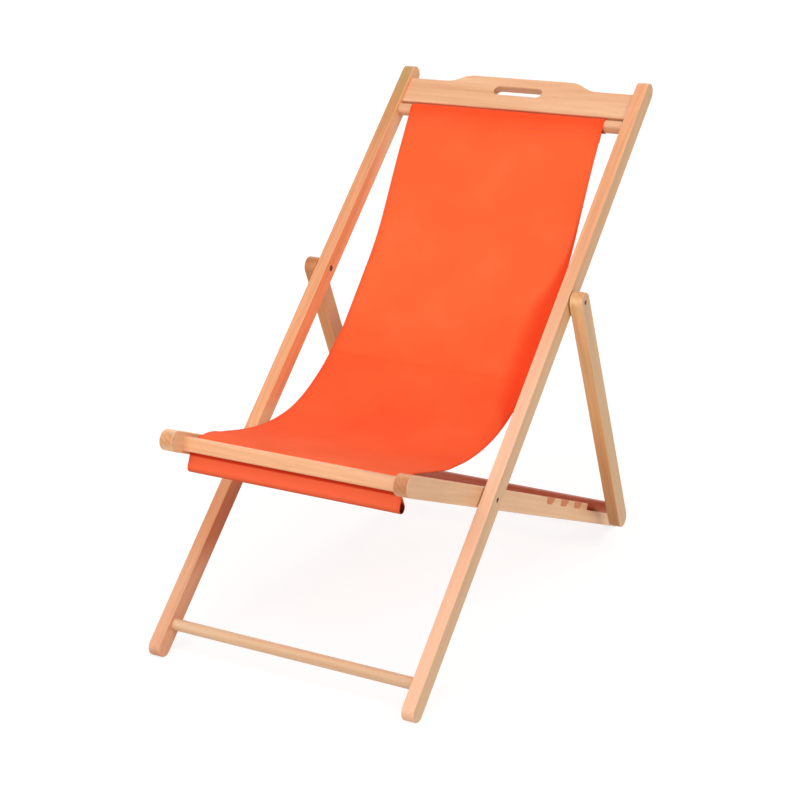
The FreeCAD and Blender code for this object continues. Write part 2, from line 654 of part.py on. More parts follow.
def build_sling():
    start, moves = sling_moves()
    half = CLOTH / 2
    heading = SLING_TOP_HEADING
    lower_moves = moves[-3:]
    upper_moves = moves[:-3]
    face_side, hem_pose = side_edges((start, heading), upper_moves, -half)
    face_hem, low_pose = side_edges(hem_pose, lower_moves, -half - CLOTH)
    under_side, _ = side_edges((start, heading), moves, half)

    # Lower loop: the two layers part at the apex and go round the lower dowel
    apex = plus(low_pose[0], polar(-half, DOWN_HEADING + QUARTER_TURN))
    lower_dowel = plus(apex, polar(LOWER_LOOP, DOWN_HEADING))
    part_angle = math.degrees(math.acos(LOWER_INNER / LOWER_LOOP))
    up = DOWN_HEADING - 2 * QUARTER_TURN
    front_touch = up + part_angle
    rear_touch = up - part_angle
    lower_outer = LOWER_INNER + CLOTH

    def leave(side_offset, touch):
        on_ring = plus(lower_dowel, polar(lower_outer, touch))
        beside = plus(apex, polar(side_offset, DOWN_HEADING + QUARTER_TURN))
        return crossing(beside, polar(1, up), on_ring, polar(1, touch + QUARTER_TURN)), on_ring

    front_corner, front_ring = leave(-CLOTH, front_touch)
    rear_corner, rear_ring = leave(CLOTH, rear_touch)
    lower_round = [(front_corner, front_ring, None)]
    lower_round += ring_edges(lower_dowel, lower_outer, front_touch, rear_touch + FULL_TURN)
    lower_round += [(rear_ring, rear_corner, None)]
    lower_hole = [(apex, plus(lower_dowel, polar(LOWER_INNER, front_touch)), None)]
    lower_hole += ring_edges(lower_dowel, LOWER_INNER, front_touch, rear_touch + FULL_TURN)

    # Upper loop: the cloth goes over the dowel and comes back under itself
    upper_outer = UPPER_INNER + CLOTH
    front_touch = heading - QUARTER_TURN
    rear_touch = front_touch + 2 * math.degrees(math.atan2(UPPER_LOOP, UPPER_INNER))
    upper_apex = plus(plus(UPPER_DOWEL, polar(UPPER_INNER, front_touch)), polar(UPPER_LOOP, heading))
    rear_ring = plus(UPPER_DOWEL, polar(upper_outer, rear_touch))
    hem_line = plus(upper_apex, polar(CLOTH, heading + QUARTER_TURN))
    hem_corner = crossing(hem_line, polar(1, heading), rear_ring, polar(1, rear_touch + QUARTER_TURN))
    hem_end = plus(hem_line, polar(HEM, heading))
    upper_round = [(hem_end, hem_corner, None), (hem_corner, rear_ring, None)]
    upper_round += ring_edges(UPPER_DOWEL, upper_outer, rear_touch, front_touch + FULL_TURN)
    upper_hole = [(upper_apex, plus(UPPER_DOWEL, polar(UPPER_INNER, rear_touch)), None)]
    upper_hole += ring_edges(UPPER_DOWEL, UPPER_INNER, rear_touch, front_touch + FULL_TURN)

    face_hem = ended_at(face_hem, front_corner)
    under_side = ended_at(under_side[2:], rear_corner)
    outline = face_side + face_hem + lower_round + reversed_edges(under_side) + upper_round
    outer = closed_wire(outline, SLING_LOW)
    holes = [closed_wire(upper_hole, SLING_LOW), closed_wire(lower_hole, SLING_LOW)]
    profile = Part.Face(outer)
    for hole in holes:
        profile = profile.cut(Part.Face(hole))
    add("sling", profile.extrude(FreeCAD.Vector(SLING_HIGH - SLING_LOW, 0, 0)))
    ends = (SLING_LOW + LOWER_DOWEL_INSET, SLING_HIGH - LOWER_DOWEL_INSET)
    dowel = rod(*ends, LOWER_DOWEL_DIA, *lower_dowel)
    rims = [edge for edge in dowel.Edges if in_side_plane(edge)]
    add("sling_lower_dowel", dowel.makeChamfer(TENON_CHAMFER, rims))


build_stiles()
build_crest_rail()
build_back_bars()
build_rails()
build_seat_bars()
build_props()
build_pivots()
build_sling()

os.makedirs("parts", exist_ok=True)
for name, shape in nodes.items():
    shape.exportStep("parts/" + name + ".step")

print("nodes", len(nodes))
print("stile angle %.3f, rail angle %.3f, prop angle %.3f" % (STILE_ANGLE, RAIL_ANGLE, PROP_ANGLE))
print("seat pivot y %.3f z %.3f" % SEAT_PIVOT)
print("prop pivot y %.3f z %.3f" % PROP_PIVOT)
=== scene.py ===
# %% [markdown]
# # A steamer deck chair, dressed
# The solids of this chair come from its construction model, already in their places: stiles, rails,
# props, bars, bolts. What they lack is looks. This lesson gives the wood its grain, the steel its
# plating, and makes the canvas sling as real cloth, because cloth is the one thing that a
# construction solid can't show. All lengths are metres, with +Z up and the sitter facing -Y.

import math

import bmesh
import bpy
from mathutils import Matrix, Vector


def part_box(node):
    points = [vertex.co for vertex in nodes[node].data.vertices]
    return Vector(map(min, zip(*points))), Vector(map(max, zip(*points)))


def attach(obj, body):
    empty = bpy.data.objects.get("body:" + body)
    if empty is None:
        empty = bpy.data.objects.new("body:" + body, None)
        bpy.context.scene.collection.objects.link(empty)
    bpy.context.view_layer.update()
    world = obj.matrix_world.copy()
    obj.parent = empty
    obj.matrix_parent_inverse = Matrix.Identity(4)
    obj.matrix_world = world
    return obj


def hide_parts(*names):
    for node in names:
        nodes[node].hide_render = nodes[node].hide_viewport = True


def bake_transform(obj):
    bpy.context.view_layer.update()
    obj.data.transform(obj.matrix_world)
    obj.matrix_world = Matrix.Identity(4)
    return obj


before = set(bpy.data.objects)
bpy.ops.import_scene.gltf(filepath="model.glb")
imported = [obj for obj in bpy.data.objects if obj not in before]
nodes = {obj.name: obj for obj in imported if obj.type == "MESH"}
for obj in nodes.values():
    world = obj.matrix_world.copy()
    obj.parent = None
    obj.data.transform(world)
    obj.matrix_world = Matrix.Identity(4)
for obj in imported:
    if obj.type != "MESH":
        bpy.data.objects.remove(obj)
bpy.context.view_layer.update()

# %% [markdown]
# Small helpers come first. A paint or wood colour is read from a photograph as an sRGB hex value,
# but the renderer works with linear light, so one function turns the first into the second. Another
# adds a shader node with its settings and links in one call. Without it, a material of twenty nodes
# would take a hundred lines.

# %% Colour and node helpers
def linear(hex_code):
    """An sRGB hex colour as linear red, green, blue and alpha."""
    parts = [int(hex_code[i : i + 2], 16) / 255 for i in (1, 3, 5)]
    return tuple(c / 12.92 if c <= 0.04045 else ((c + 0.055) / 1.055) ** 2.4 for c in parts) + (1.0,)


def add_node(tree, kind, settings=None, **inputs):
    """Adds a shader node. An input is a plain value, or an output socket that it is linked to.
    An input's name is written with underscores, and in0, in1 mean the sockets by number."""
    node = tree.nodes.new("ShaderNode" + kind)
    for key, value in (settings or {}).items():
        setattr(node, key, value)
    for key, value in inputs.items():
        number = key[2:] if key.startswith("in") and key[2:].isdigit() else None
        socket = node.inputs[int(number)] if number else node.inputs[key.replace("_", " ")]
        if isinstance(value, bpy.types.NodeSocket):
            tree.links.new(value, socket)
        else:
            socket.default_value = value
    return node


def new_material(name):
    """An empty material with its output, ready for a surface shader."""
    material = bpy.data.materials.new(name)
    material.use_nodes = True
    tree = material.node_tree
    tree.nodes.clear()
    return material, tree, add_node(tree, "OutputMaterial")


WHITE = linear("#FFFFFF")
print("mid tone of the rails' pine, in linear light", [round(c, 3) for c in linear("#E8B68A")])

# %% [markdown]
# Most nodes in a material do one of a few jobs: turn a number into a colour, mix two colours or two
# numbers, do a sum, stretch a range, or draw noise. Each job gets a function that returns the socket
# with the result, so that a material reads like a recipe. Only noise has two results, a grey and a
# colour, so its function returns the node.

# %% Nodes for the common jobs
def ramp(tree, factor, stops):
    """A colour ramp from a list of (position, hex colour or grey value)."""
    node = add_node(tree, "ValToRGB", Fac=factor)
    elements = node.color_ramp.elements
    while len(elements) < len(stops):
        elements.new(0.5)
    for element, (position, colour) in zip(elements, stops):
        element.position = position
        element.color = linear(colour) if isinstance(colour, str) else (colour, colour, colour, 1.0)
    return node.outputs["Color"]


def blended(tree, share, first, second, how="MIX"):
    """The first colour, mixed with the second by a share, or tinted by it with how="MULTIPLY"."""
    settings = {"data_type": "RGBA", "blend_type": how}
    return add_node(tree, "Mix", settings, in0=share, in6=first, in7=second).outputs[2]


def between(tree, share, first, second):
    """The number that lies between two others by a share."""
    return add_node(tree, "Mix", {"data_type": "FLOAT"}, in0=share, in2=first, in3=second).outputs[0]


def maths(tree, operation, *numbers):
    """The result of one sum."""
    inputs = {f"in{i}": number for i, number in enumerate(numbers)}
    return add_node(tree, "Math", {"operation": operation}, **inputs).outputs[0]


def rescaled(tree, value, start, end, first=0.0, last=1.0, smooth=False):
    """A number that goes from first to last while a value goes from start to end."""
    settings = {"interpolation_type": "SMOOTHSTEP"} if smooth else {}
    limits = {"From_Min": start, "From_Max": end, "To_Min": first, "To_Max": last}
    return add_node(tree, "MapRange", settings, Value=value, **limits).outputs[0]


def noise(tree, place, stretch, **inputs):
    """The node of noise at a place. The stretch is its scale along each axis."""
    stretched = add_node(tree, "Mapping", Vector=place, Scale=stretch)
    return add_node(tree, "TexNoise", Vector=stretched.outputs[0], Scale=1.0, **inputs)


print("helpers for six common jobs")

# %% [markdown]
# ## The wood
# The frame is pine, sawn, planed, sanded and rubbed with clear oil. The eye knows pine by its growth
# layers: pale tan early wood with narrow, darker late wood between, in lines that run with the member
# and wander a little. Between them lie a few thin dark dashes, the resin ducts.
# The grain must run along each piece, and the pieces point in four directions. So the pattern is
# drawn once along Y, and a Mapping node turns it to lie along the stile, the rail, the prop or the
# cross bars.

# %% The way each group of pieces points
STILE_TILT = 42.698
RAIL_TILT = -23.232
PROP_TILT = -66.322


def grain_turn(tilt):
    """The turn that lays a member's own length along Y."""
    return (-math.radians(tilt), 0.0, 0.0)


STILE_TURN = grain_turn(STILE_TILT)
RAIL_TURN = grain_turn(RAIL_TILT)
PROP_TURN = grain_turn(PROP_TILT)
CROSS_TURN = (0.0, 0.0, math.radians(90))
print("grain directions", STILE_TILT, RAIL_TILT, PROP_TILT, "and across the chair")

# %% [markdown]
# Each pattern starts from a real size. Noise at scale S repeats about every 1/S metres, so a stretch
# of (40, 1.6, 40) draws patches about 25 mm wide and 600 mm long. Growth layers in slow-grown pine
# are 2 mm apart. One pixel of the picture covers 1.5 to 2 mm of this chair, so they are drawn 8 mm
# apart and faint, and the resin ducts twice as wide as the real 0.5 mm.

# %% The grain of pine
LAYER_PITCH = 0.008
LAYER_SLANT = (0.62, 0.0, 0.78)
WANDER = 0.040


def pine_grain(tree, along):
    """Late wood, broad tone, fibres and ducts, on a place whose Y runs along the member."""
    # Wander: the grain drifts sideways by up to 20 mm either way over the length of a member
    slow = noise(tree, along, (6.0, 1.3, 6.0), Detail=2.0)
    drift = add_node(tree, "VectorMath", {"operation": "SCALE"}, in0=slow.outputs["Color"], Scale=WANDER)
    drifted = add_node(tree, "VectorMath", {"operation": "ADD"}, in0=along, in1=drift.outputs[0])
    grain_place = drifted.outputs[0]

    # Growth layers: slanting sheets, so that both faces of a member show lines
    depth = add_node(tree, "VectorMath", {"operation": "DOT_PRODUCT"}, in0=grain_place, in1=LAYER_SLANT)
    phase = maths(tree, "MULTIPLY", depth.outputs["Value"], 2 * math.pi / LAYER_PITCH)
    late = rescaled(tree, maths(tree, "SINE", phase), -1.0, 1.0)

    # Broad tone: patches 25 mm wide where the board was cut nearer to or further from the pith
    broad = noise(tree, grain_place, (40.0, 1.6, 40.0), Detail=3.0, Roughness=0.55)

    # Fibres: fine streaks about 4 mm wide and 200 mm long
    fibre = noise(tree, grain_place, (240.0, 5.0, 240.0), Detail=4.0, Roughness=0.6)

    # Resin ducts: thin dark dashes about 1 mm wide and 12 mm long
    duct = noise(tree, grain_place, (800.0, 80.0, 800.0), Detail=1.0)
    ducts = ramp(tree, duct.outputs["Fac"], [(0.66, 0.0), (0.80, 0.45)])
    return late, broad.outputs["Fac"], fibre.outputs["Fac"], ducts


print("growth layers drawn", round(LAYER_PITCH * 1000), "mm apart")

# %% [markdown]
# Where a rounded end cuts across the grain, the wood is browner and mottled, because the open ends
# of the fibres drink more oil. The eased edges are painted paler, a painted highlight where they
# catch the light. A Bevel node finds the edges: it rounds the normal near each one, and where
# the rounded normal leaves the true one, there is an edge. Painting the edges by hand would look as
# good, but it would have to be done again whenever a piece changes.

# %% End grain and painted edge highlights
EDGE_REACH = 0.0035


def end_grain(tree, wood, along, facing, late):
    """The wood with browner, mottled ends, on the faces that look along the member."""
    pores = noise(tree, along, (700.0, 700.0, 700.0), Detail=2.0)
    mottle = between(tree, 0.30, pores.outputs["Fac"], late)
    tint = ramp(tree, mottle, [(0.20, "#E0C8B4"), (0.80, "#F2E0CE")])
    ends = ramp(tree, maths(tree, "ABSOLUTE", facing.outputs["Y"]), [(0.60, 0.0), (0.97, 1.0)])
    return blended(tree, ends, wood, tint, "MULTIPLY")


def painted_edge_highlight(tree, wood):
    """The wood with paler edges, a painted highlight."""
    rounded = add_node(tree, "Bevel", {"samples": 4}, Radius=EDGE_REACH).outputs[0]
    true_normal = add_node(tree, "NewGeometry").outputs["True Normal"]
    same = add_node(tree, "VectorMath", {"operation": "DOT_PRODUCT"}, in0=rounded, in1=true_normal)
    edges = ramp(tree, same.outputs["Value"], [(0.86, 0.12), (0.985, 0.0)])
    # Painted highlight: a pale colour along the edges
    return blended(tree, edges, wood, linear("#FAD6B2"))


print("edges worn", EDGE_REACH * 1000, "mm wide")

# %% [markdown]
# No board has one tone from end to end. Towards the floor some boards are paler. Painted shade
# makes a board darker along an axis of the chair, where shade falls on it, and on the inner flank
# of the left stile below the seat. The two flanks may have tones of their own, a painted light for
# the way the light falls on the sides. All this depends on a place on the chair and on the way that
# a face of the chair looks, and never on the camera, so it stays the same from any side.

# %% Planed pine with clear oil
# A colour ramp runs from 0 to 1. Heights fit into that as they are, and X is moved into it.
RAMP_SHIFT = {"X": 0.5, "Z": 0.0}
# Heights between which a flank's own tones set in: here below the floor, so they are on all of it
ALL_OF_IT = (-0.1, 0.0)
# How much late wood there is in the grain against the fibres, and how much broad tone in the tone
LATE_SHARE = 0.12
BROAD_SHARE = 0.62


def toned(tree, tone, tones):
    """The colour of wood of three tones, light, mid and dark, where its pattern has a tone."""
    light, mid, dark = tones
    return ramp(tree, tone, [(0.30, dark), (0.50, mid), (0.70, light)])


def tinted(tree, wood, share, spot, axis, tints):
    """The wood multiplied by tints at places along an axis, in metres, on a share of its faces."""
    shift = RAMP_SHIFT[axis]
    place = maths(tree, "ADD", spot.outputs[axis], shift)
    tint = ramp(tree, place, [(at + shift, colour) for at, colour in tints])
    return blended(tree, share, wood, tint, "MULTIPLY")


def planed_pine(name, turn, tones, paler_low=None, shade=None, inner_shade=None, flank=None):
    """Oiled pine whose grain runs along the member that the turn lays on Y. Its flanks are the
    faces that then look along X: the sides of a stile, or the front and back of a cross bar.
    Paler low is the share by which the wood goes paler, up to which height, and above which it
    is plain. Shade is an axis and tints along it, a painted shade on all faces but the flanks.
    Inner shade is tints by height, a painted shade on the flank that looks to +X.
    Flank is how far the flanks go to tones of their own, a painted light, and the heights where
    that sets in."""
    material, tree, out = new_material(name)
    place = add_node(tree, "TexCoord")
    along = add_node(tree, "Mapping", Vector=place.outputs["Object"], Rotation=turn).outputs[0]
    normal = add_node(
        tree, "Mapping", {"vector_type": "NORMAL"}, Vector=place.outputs["Normal"], Rotation=turn
    )
    facing = add_node(tree, "SeparateXYZ", Vector=normal.outputs[0])
    spot = add_node(tree, "SeparateXYZ", Vector=place.outputs["Object"])

    late, broad, fibre, ducts = pine_grain(tree, along)
    grain = between(tree, LATE_SHARE, fibre, late)
    tone = between(tree, BROAD_SHARE, grain, broad)
    wood = blended(tree, ducts, toned(tree, tone, tones), linear("#D0A684"), "MULTIPLY")
    wood = end_grain(tree, wood, along, facing, late)

    on_flanks = maths(tree, "ABSOLUTE", facing.outputs["X"])
    # Towards the floor the wood is paler, by a share that fades out between two heights
    if paler_low:
        share, palest_below, plain_above = paler_low
        gone = rescaled(tree, spot.outputs["Z"], palest_below, plain_above, share, 0.0, smooth=True)
        wood = blended(tree, gone, wood, linear("#F3CDB0"))
    # Painted shade: tints along an axis, on all faces but the flanks
    if shade:
        wood = tinted(tree, wood, maths(tree, "SUBTRACT", 1.0, on_flanks), spot, *shade)
    # Painted shade by height, on the flank that looks to +X
    if inner_shade:
        wood = tinted(tree, wood, facing.outputs["X"], spot, "Z", inner_shade)
    # Painted light: the flanks' own tones stand for the way the light falls on the sides
    if flank:
        share, flank_lit_tones, (low, high) = flank
        set_in = rescaled(tree, spot.outputs["Z"], low, high, 0.0, share)
        flank_light_share = maths(tree, "MULTIPLY", on_flanks, set_in)
        wood = blended(tree, flank_light_share, wood, toned(tree, tone, flank_lit_tones))
    # Painted highlight along the eased edges
    wood = painted_edge_highlight(tree, wood)

    rough = rescaled(tree, fibre, 0.0, 1.0, 0.36, 0.54)
    relief = maths(tree, "SUBTRACT", grain, ducts)
    bump = add_node(tree, "Bump", Strength=0.10, Distance=0.0005, Height=relief)
    shader = add_node(
        tree, "BsdfPrincipled", Base_Color=wood, Roughness=rough, Normal=bump.outputs[0], IOR=1.5
    )
    tree.links.new(shader.outputs[0], out.inputs["Surface"])
    return material


print("ramps along X are moved by", RAMP_SHIFT["X"], "m")

# %% [markdown]
# Boards from different trees differ a little in tone, as they do in the photograph: the left stile
# and the left prop are the warmest, the rails and the foot stretcher are the sandiest, and the right
# prop is golden. Towards its foot the right prop is painted browner, a painted shade. The bar
# between the props and the rod in the lower hem are painted dark red, a painted shade, as they lie
# in the shadow of the sling and of the lower loop.

# %% The boards
pine = {
    # Left stile: painted shade at its top, a touch near the floor and on its inner side below the seat;
    # painted light on its upper flanks; paler near the floor
    "left stile": planed_pine(
        "pine_left_stile", STILE_TURN, ("#EBAA7B", "#DC9567", "#CA8254"),
        paler_low=(0.15, 0.10, 0.22),
        shade=("Z", [
            (0.12, "#F5F9FF"), (0.20, "#FFFFFF"), (0.74, "#FFFFFF"), (0.86, "#DEE1BE"), (0.91, "#CEE4C1"),
        ]),
        inner_shade=[
            (0.12, "#FFFFFF"), (0.17, "#EABC7C"), (0.22, "#E8B878"), (0.26, "#F0CC9C"), (0.30, "#FFFFFF"),
        ],
        flank=(0.6, ("#FABC88", "#F2B27C", "#E09E68"), (0.25, 0.42)),
    ),
    # Right stile: paler on its lower half, and painted light on its flanks
    "right stile": planed_pine(
        "pine_right_stile", STILE_TURN, ("#ECAC7E", "#DD976A", "#CB8456"),
        paler_low=(0.50, 0.35, 0.72),
        flank=(0.50, ("#D2AF78", "#C8A36C", "#B68E58"), ALL_OF_IT),
    ),
    # Rails: painted shade on the front end of the right rail
    "rail": planed_pine(
        "pine_rail", RAIL_TURN, ("#F2C79B", "#E8B68A", "#DAA476"),
        shade=("X", [(0.18, "#FFFFFF"), (0.22, "#E2CABC")]),
    ),
    # Left prop: painted shade on its upper end
    "left prop": planed_pine(
        "pine_left_prop", PROP_TURN, ("#DC9A63", "#CE8A51", "#BA763E"),
        shade=("Z", [(0.50, "#FFFFFF"), (0.60, "#ECDDC7")]),
    ),
    # Right prop: painted shade that deepens towards its foot, and painted light on its flanks
    "right prop": planed_pine(
        "pine_right_prop", PROP_TURN, ("#F2C490", "#E8B580", "#D69F69"),
        shade=("Z", [
            (0.05, "#C3B297"), (0.14, "#DCCAB6"), (0.28, "#EFE2CE"), (0.43, "#F4F0E2"), (0.53, "#FFFFFF"),
        ]),
        flank=(0.8, ("#D8AE82", "#CEA477", "#BC9062"), ALL_OF_IT),
    ),
    # Cross pieces: a touch of painted shade near the top, and paler near the floor
    "cross": planed_pine(
        "pine_cross", CROSS_TURN, ("#EABA92", "#DEA77D", "#CF9368"),
        paler_low=(0.15, 0.03, 0.42), shade=("Z", [(0.80, "#FFFFFF"), (0.88, "#F9F8F8")]),
    ),
    "stretcher": planed_pine(
        "pine_stretcher", CROSS_TURN, ("#DCB993", "#D0A67E", "#C19269"), paler_low=(0.15, 0.03, 0.42)
    ),
    # Front bar: painted shade towards its right end
    "front bar": planed_pine(
        "pine_bar", CROSS_TURN, ("#F4BE92", "#E8AB7E", "#D99767"),
        shade=("X", [(0.08, "#FFFFFF"), (0.15, "#E4E0E6"), (0.22, "#E1DAE2")]),
    ),
    # Painted shade: the bar under the sling and the rod inside the lower loop are painted dark red
    "heart": planed_pine("red_heartwood_bar", CROSS_TURN, ("#C2704C", "#AE5C3F", "#924830")),
}
print("wood materials", sorted(pine))

# %% [markdown]
# Every wooden solid now gets the material of its board. A solid that came from the construction
# model keeps its shape and its place, so only its material slots are filled.

# %% Dress the wood
def dress(names, material):
    """Puts one material in all the slots of some solids."""
    for name in names:
        mesh = nodes[name].data
        if not mesh.materials:
            mesh.materials.append(material)
        for i in range(len(mesh.materials)):
            mesh.materials[i] = material


members = {
    "left stile": ["stile_left"],
    "right stile": ["stile_right"],
    "rail": ["seat_rail_left", "seat_rail_right"],
    "left prop": ["prop_strut_left"],
    "right prop": ["prop_strut_right"],
    "cross": [
        "crest_rail", "upper_sling_dowel", "keeper_bar", "rear_cross_bar",
        "crest_rail_pins", "front_bar_pins", "keeper_bar_pins",
    ],
    "stretcher": ["foot_stretcher"],
    "front bar": ["front_bar"],
    "heart": ["prop_bar", "sling_lower_dowel"],
}
for board, names in members.items():
    dress(names, pine[board])
print("wooden solids dressed", sum(len(names) for names in members.values()))

# %% [markdown]
# ## The steel
# The chair turns on four bolts with nuts and washers, and thin brads lock the round tenons. They
# are plain steel with a dark zinc plating. Plating is thin and even, so it keeps a soft metallic
# shine and shows faint cloudy patches. A metal's colour in the renderer is its reflection, so the
# base colour is a dark warm grey with full metallic.

# %% Zinc-plated steel
def zinc_steel(name):
    """Dark zinc plating: a cloudy grey metal, a little rough."""
    material, tree, out = new_material(name)
    place = add_node(tree, "TexCoord").outputs["Object"]
    # Clouds about 4 mm across
    cloud = noise(tree, place, (260.0, 260.0, 260.0), Detail=3.0).outputs["Fac"]
    colour = ramp(tree, cloud, [(0.35, "#4A4644"), (0.65, "#77716C")])
    rough = rescaled(tree, cloud, 0.0, 1.0, 0.30, 0.50)
    bump = add_node(tree, "Bump", Strength=0.08, Distance=0.0002, Height=cloud)
    shader = add_node(
        tree, "BsdfPrincipled", Base_Color=colour, Metallic=1.0, Roughness=rough, Normal=bump.outputs[0]
    )
    tree.links.new(shader.outputs[0], out.inputs["Surface"])
    return material


steel = zinc_steel("zinc_plated_steel")
steel_pieces = [name for name in nodes if name.endswith("_brads") or "pivot" in name]
dress(steel_pieces, steel)
print("steel solids dressed", len(steel_pieces))

# %% [markdown]
# ## The canvas
# The sling is one strip of plain-woven cotton canvas. Each end is folded back and sewn down to make
# a loop round a dowel. The upper dowel hangs it, and the lower one can't slip back up between the
# two front bars. Between them the cloth hangs in a long hollow curve.
# A cloth simulation could find that curve, but here the curve is already known from the photograph:
# straight runs and bends, one after the other. So the strip is drawn in the side view as a path with
# a heading, like a walk: so far ahead, then a turn at such a radius. Later it is swept across X.
# The walk starts where the cloth leaves the upper dowel, and the frame says where that is.

# %% Where the cloth starts
# Two layers lie this far apart, middle to middle, with a hair of air between them
CLOTH = 0.0015
RING_GAP = 0.0003
TOP_HEADING = 239.3


def ahead(place, length, degrees):
    """The place that lies so far ahead in the side view, where 0 degrees is +Y and 90 is +Z."""
    angle = math.radians(degrees)
    return (place[0] + length * math.cos(angle), place[1] + length * math.sin(angle))


def round_bar(name):
    """The middle of a round bar in the side view, and its radius."""
    low, high = (tuple(float(v) for v in corner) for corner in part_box(name))
    return ((low[1] + high[1]) / 2, (low[2] + high[2]) / 2), (high[2] - low[2]) / 2


UPPER_DOWEL, upper_radius = round_bar("upper_sling_dowel")
LOWER_DOWEL, lower_radius = round_bar("sling_lower_dowel")
UPPER_RING = upper_radius + RING_GAP + CLOTH / 2
LOWER_RING = lower_radius + RING_GAP + CLOTH / 2
START = ahead(UPPER_DOWEL, UPPER_RING, TOP_HEADING - 90)
print("cloth leaves the upper dowel at", [round(v, 4) for v in START])

# %% [markdown]
# The walk goes down the back and along the seat, over the rounded rear edge of the front bar, and
# down between the two bars. There it bends back by the tilt of the rails and ends at the lower loop.

# %% Walk along the cloth in the side view
STEP = 0.0005
# Each move is (length, 0) for a straight run or (radius, degrees to the right) for a bend
BACK_AND_SEAT = [(0.224, 0), (0.515, 13.2), (0.156382, 0), (0.335, 39.3), (0.435, 19.9), (0.159787, 0)]
OVER_THE_BAR = [(0.00605, -79.868), (0.021, 0)]
LOWER_BEND = (0.012, RAIL_TILT)
LOWER_TAIL = 0.002


def walk(place, heading, moves):
    """Points along a chain of moves, STEP apart, with the heading at each."""
    track = [(place, heading)]
    for size, turn in moves:
        length = size if turn == 0 else size * math.radians(abs(turn))
        count = max(1, round(length / STEP))
        side = 1 if turn > 0 else -1
        centre = ahead(place, size, heading - 90 * side)
        for i in range(1, count + 1):
            part = i / count
            if turn == 0:
                track.append((ahead(place, size * part, heading), heading))
            else:
                there = heading - turn * part
                track.append((ahead(centre, size, there + 90 * side), there))
        place, heading = track[-1]
    return track


main_track = walk(START, TOP_HEADING, BACK_AND_SEAT + OVER_THE_BAR + [LOWER_BEND, (LOWER_TAIL, 0)])
print("main run ends at", [round(v, 4) for v in main_track[-1][0]], "heading", round(main_track[-1][1], 1))

# %% [markdown]
# Each hem folds back flat against the main run, one layer away, and goes round its dowel
# in a teardrop. The loop is a ring round the dowel with two straight lines that leave it as
# tangents. The corner where the two layers meet is softened later, as canvas never folds sharp there.

# %% The two hem loops
UPPER_LOOP = 0.018
LOWER_LOOP = 0.020
HEM = 0.020


def straight(a, b):
    """Points from a to b, STEP apart."""
    count = max(1, round(math.dist(a, b) / STEP))
    return [(a[0] + (b[0] - a[0]) * i / count, a[1] + (b[1] - a[1]) * i / count) for i in range(count + 1)]


def ring(centre, radius, start, end):
    """Points on a circle from one bearing to another."""
    count = max(2, round(abs(math.radians(end - start)) * radius / STEP))
    return [ahead(centre, radius, start + (end - start) * i / count) for i in range(count + 1)]


upper_touch = TOP_HEADING - 90
upper_half = math.degrees(math.atan2(UPPER_LOOP, UPPER_RING))
upper_rear = upper_touch + 2 * upper_half
beside = ahead(ahead(START, UPPER_LOOP, TOP_HEADING), CLOTH, TOP_HEADING + 90)
hem_end = ahead(beside, HEM, TOP_HEADING)
upper_part = straight(hem_end, beside)
upper_part += straight(beside, ahead(UPPER_DOWEL, UPPER_RING, upper_rear))
upper_part += ring(UPPER_DOWEL, UPPER_RING, upper_rear, upper_touch + 360)

lower_half = math.degrees(math.acos(LOWER_RING / LOWER_LOOP))
rear_bearing = 90 - lower_half
front_bearing = 90 + lower_half
lower_part = straight(main_track[-1][0], ahead(LOWER_DOWEL, LOWER_RING, rear_bearing))
lower_part += ring(LOWER_DOWEL, LOWER_RING, rear_bearing, front_bearing - 360)
front_apex = (main_track[-1][0][0] - CLOTH, main_track[-1][0][1])
lower_part += straight(ahead(LOWER_DOWEL, LOWER_RING, front_bearing), front_apex)
hem_back = [ahead(p, CLOTH, h - 90) for p, h in reversed(main_track)]
hem_length = HEM + LOWER_BEND[0] * math.radians(abs(LOWER_BEND[1])) + LOWER_TAIL
lower_part += hem_back[: round(hem_length / STEP)]

path = upper_part + [p for p, h in main_track] + lower_part
print("points on the strip's path", len(path))

# %% [markdown]
# The path is now evened out: points that repeat are dropped, a short running mean rounds the
# folds, and the line is cut again into rows. Rows are close together where the cloth bends
# sharply, and wider apart on the long runs, which keeps the mesh light.

# %% Smooth the path and choose the rows
# Reaches and steps are counted in points of the path, and a bend in radians per metre
BEND_REACH = 4
SHARP_BEND = 30
CREASE_AT = 0.541
CREASE_REACH = 32
FINE_STEP = 3
COARSE_STEP = 14
LOOK_AHEAD = 12


def spaced(points, step):
    """The same line with points at an even distance."""
    result = [points[0]]
    left = step
    for a, b in zip(points, points[1:]):
        gap = math.dist(a, b)
        while gap > 1e-9 and left <= gap:
            a = (a[0] + (b[0] - a[0]) * left / gap, a[1] + (b[1] - a[1]) * left / gap)
            result.append(a)
            gap = math.dist(a, b)
            left = step
        left -= gap
    return result


def softened(points, reach, rounds):
    """A running mean over a few neighbours, which keeps both ends."""
    for _ in range(rounds):
        middle = []
        for i in range(1, len(points) - 1):
            k = min(reach, i, len(points) - 1 - i)
            near = points[i - k : i + k + 1]
            middle.append((sum(p[0] for p in near) / len(near), sum(p[1] for p in near) / len(near)))
        points = [points[0]] + middle + [points[-1]]
    return points


path = softened(spaced(path, STEP), reach=2, rounds=4)
path = spaced(path, STEP)


def bend_at(i):
    """How sharply the line turns near point i, in radians per metre."""
    a, b, c = path[max(i - BEND_REACH, 0)], path[i], path[min(i + BEND_REACH, len(path) - 1)]
    turn = math.atan2(c[1] - b[1], c[0] - b[0]) - math.atan2(b[1] - a[1], b[0] - a[0])
    turn = (turn + math.pi) % (2 * math.pi) - math.pi
    return abs(turn) / (BEND_REACH * STEP)


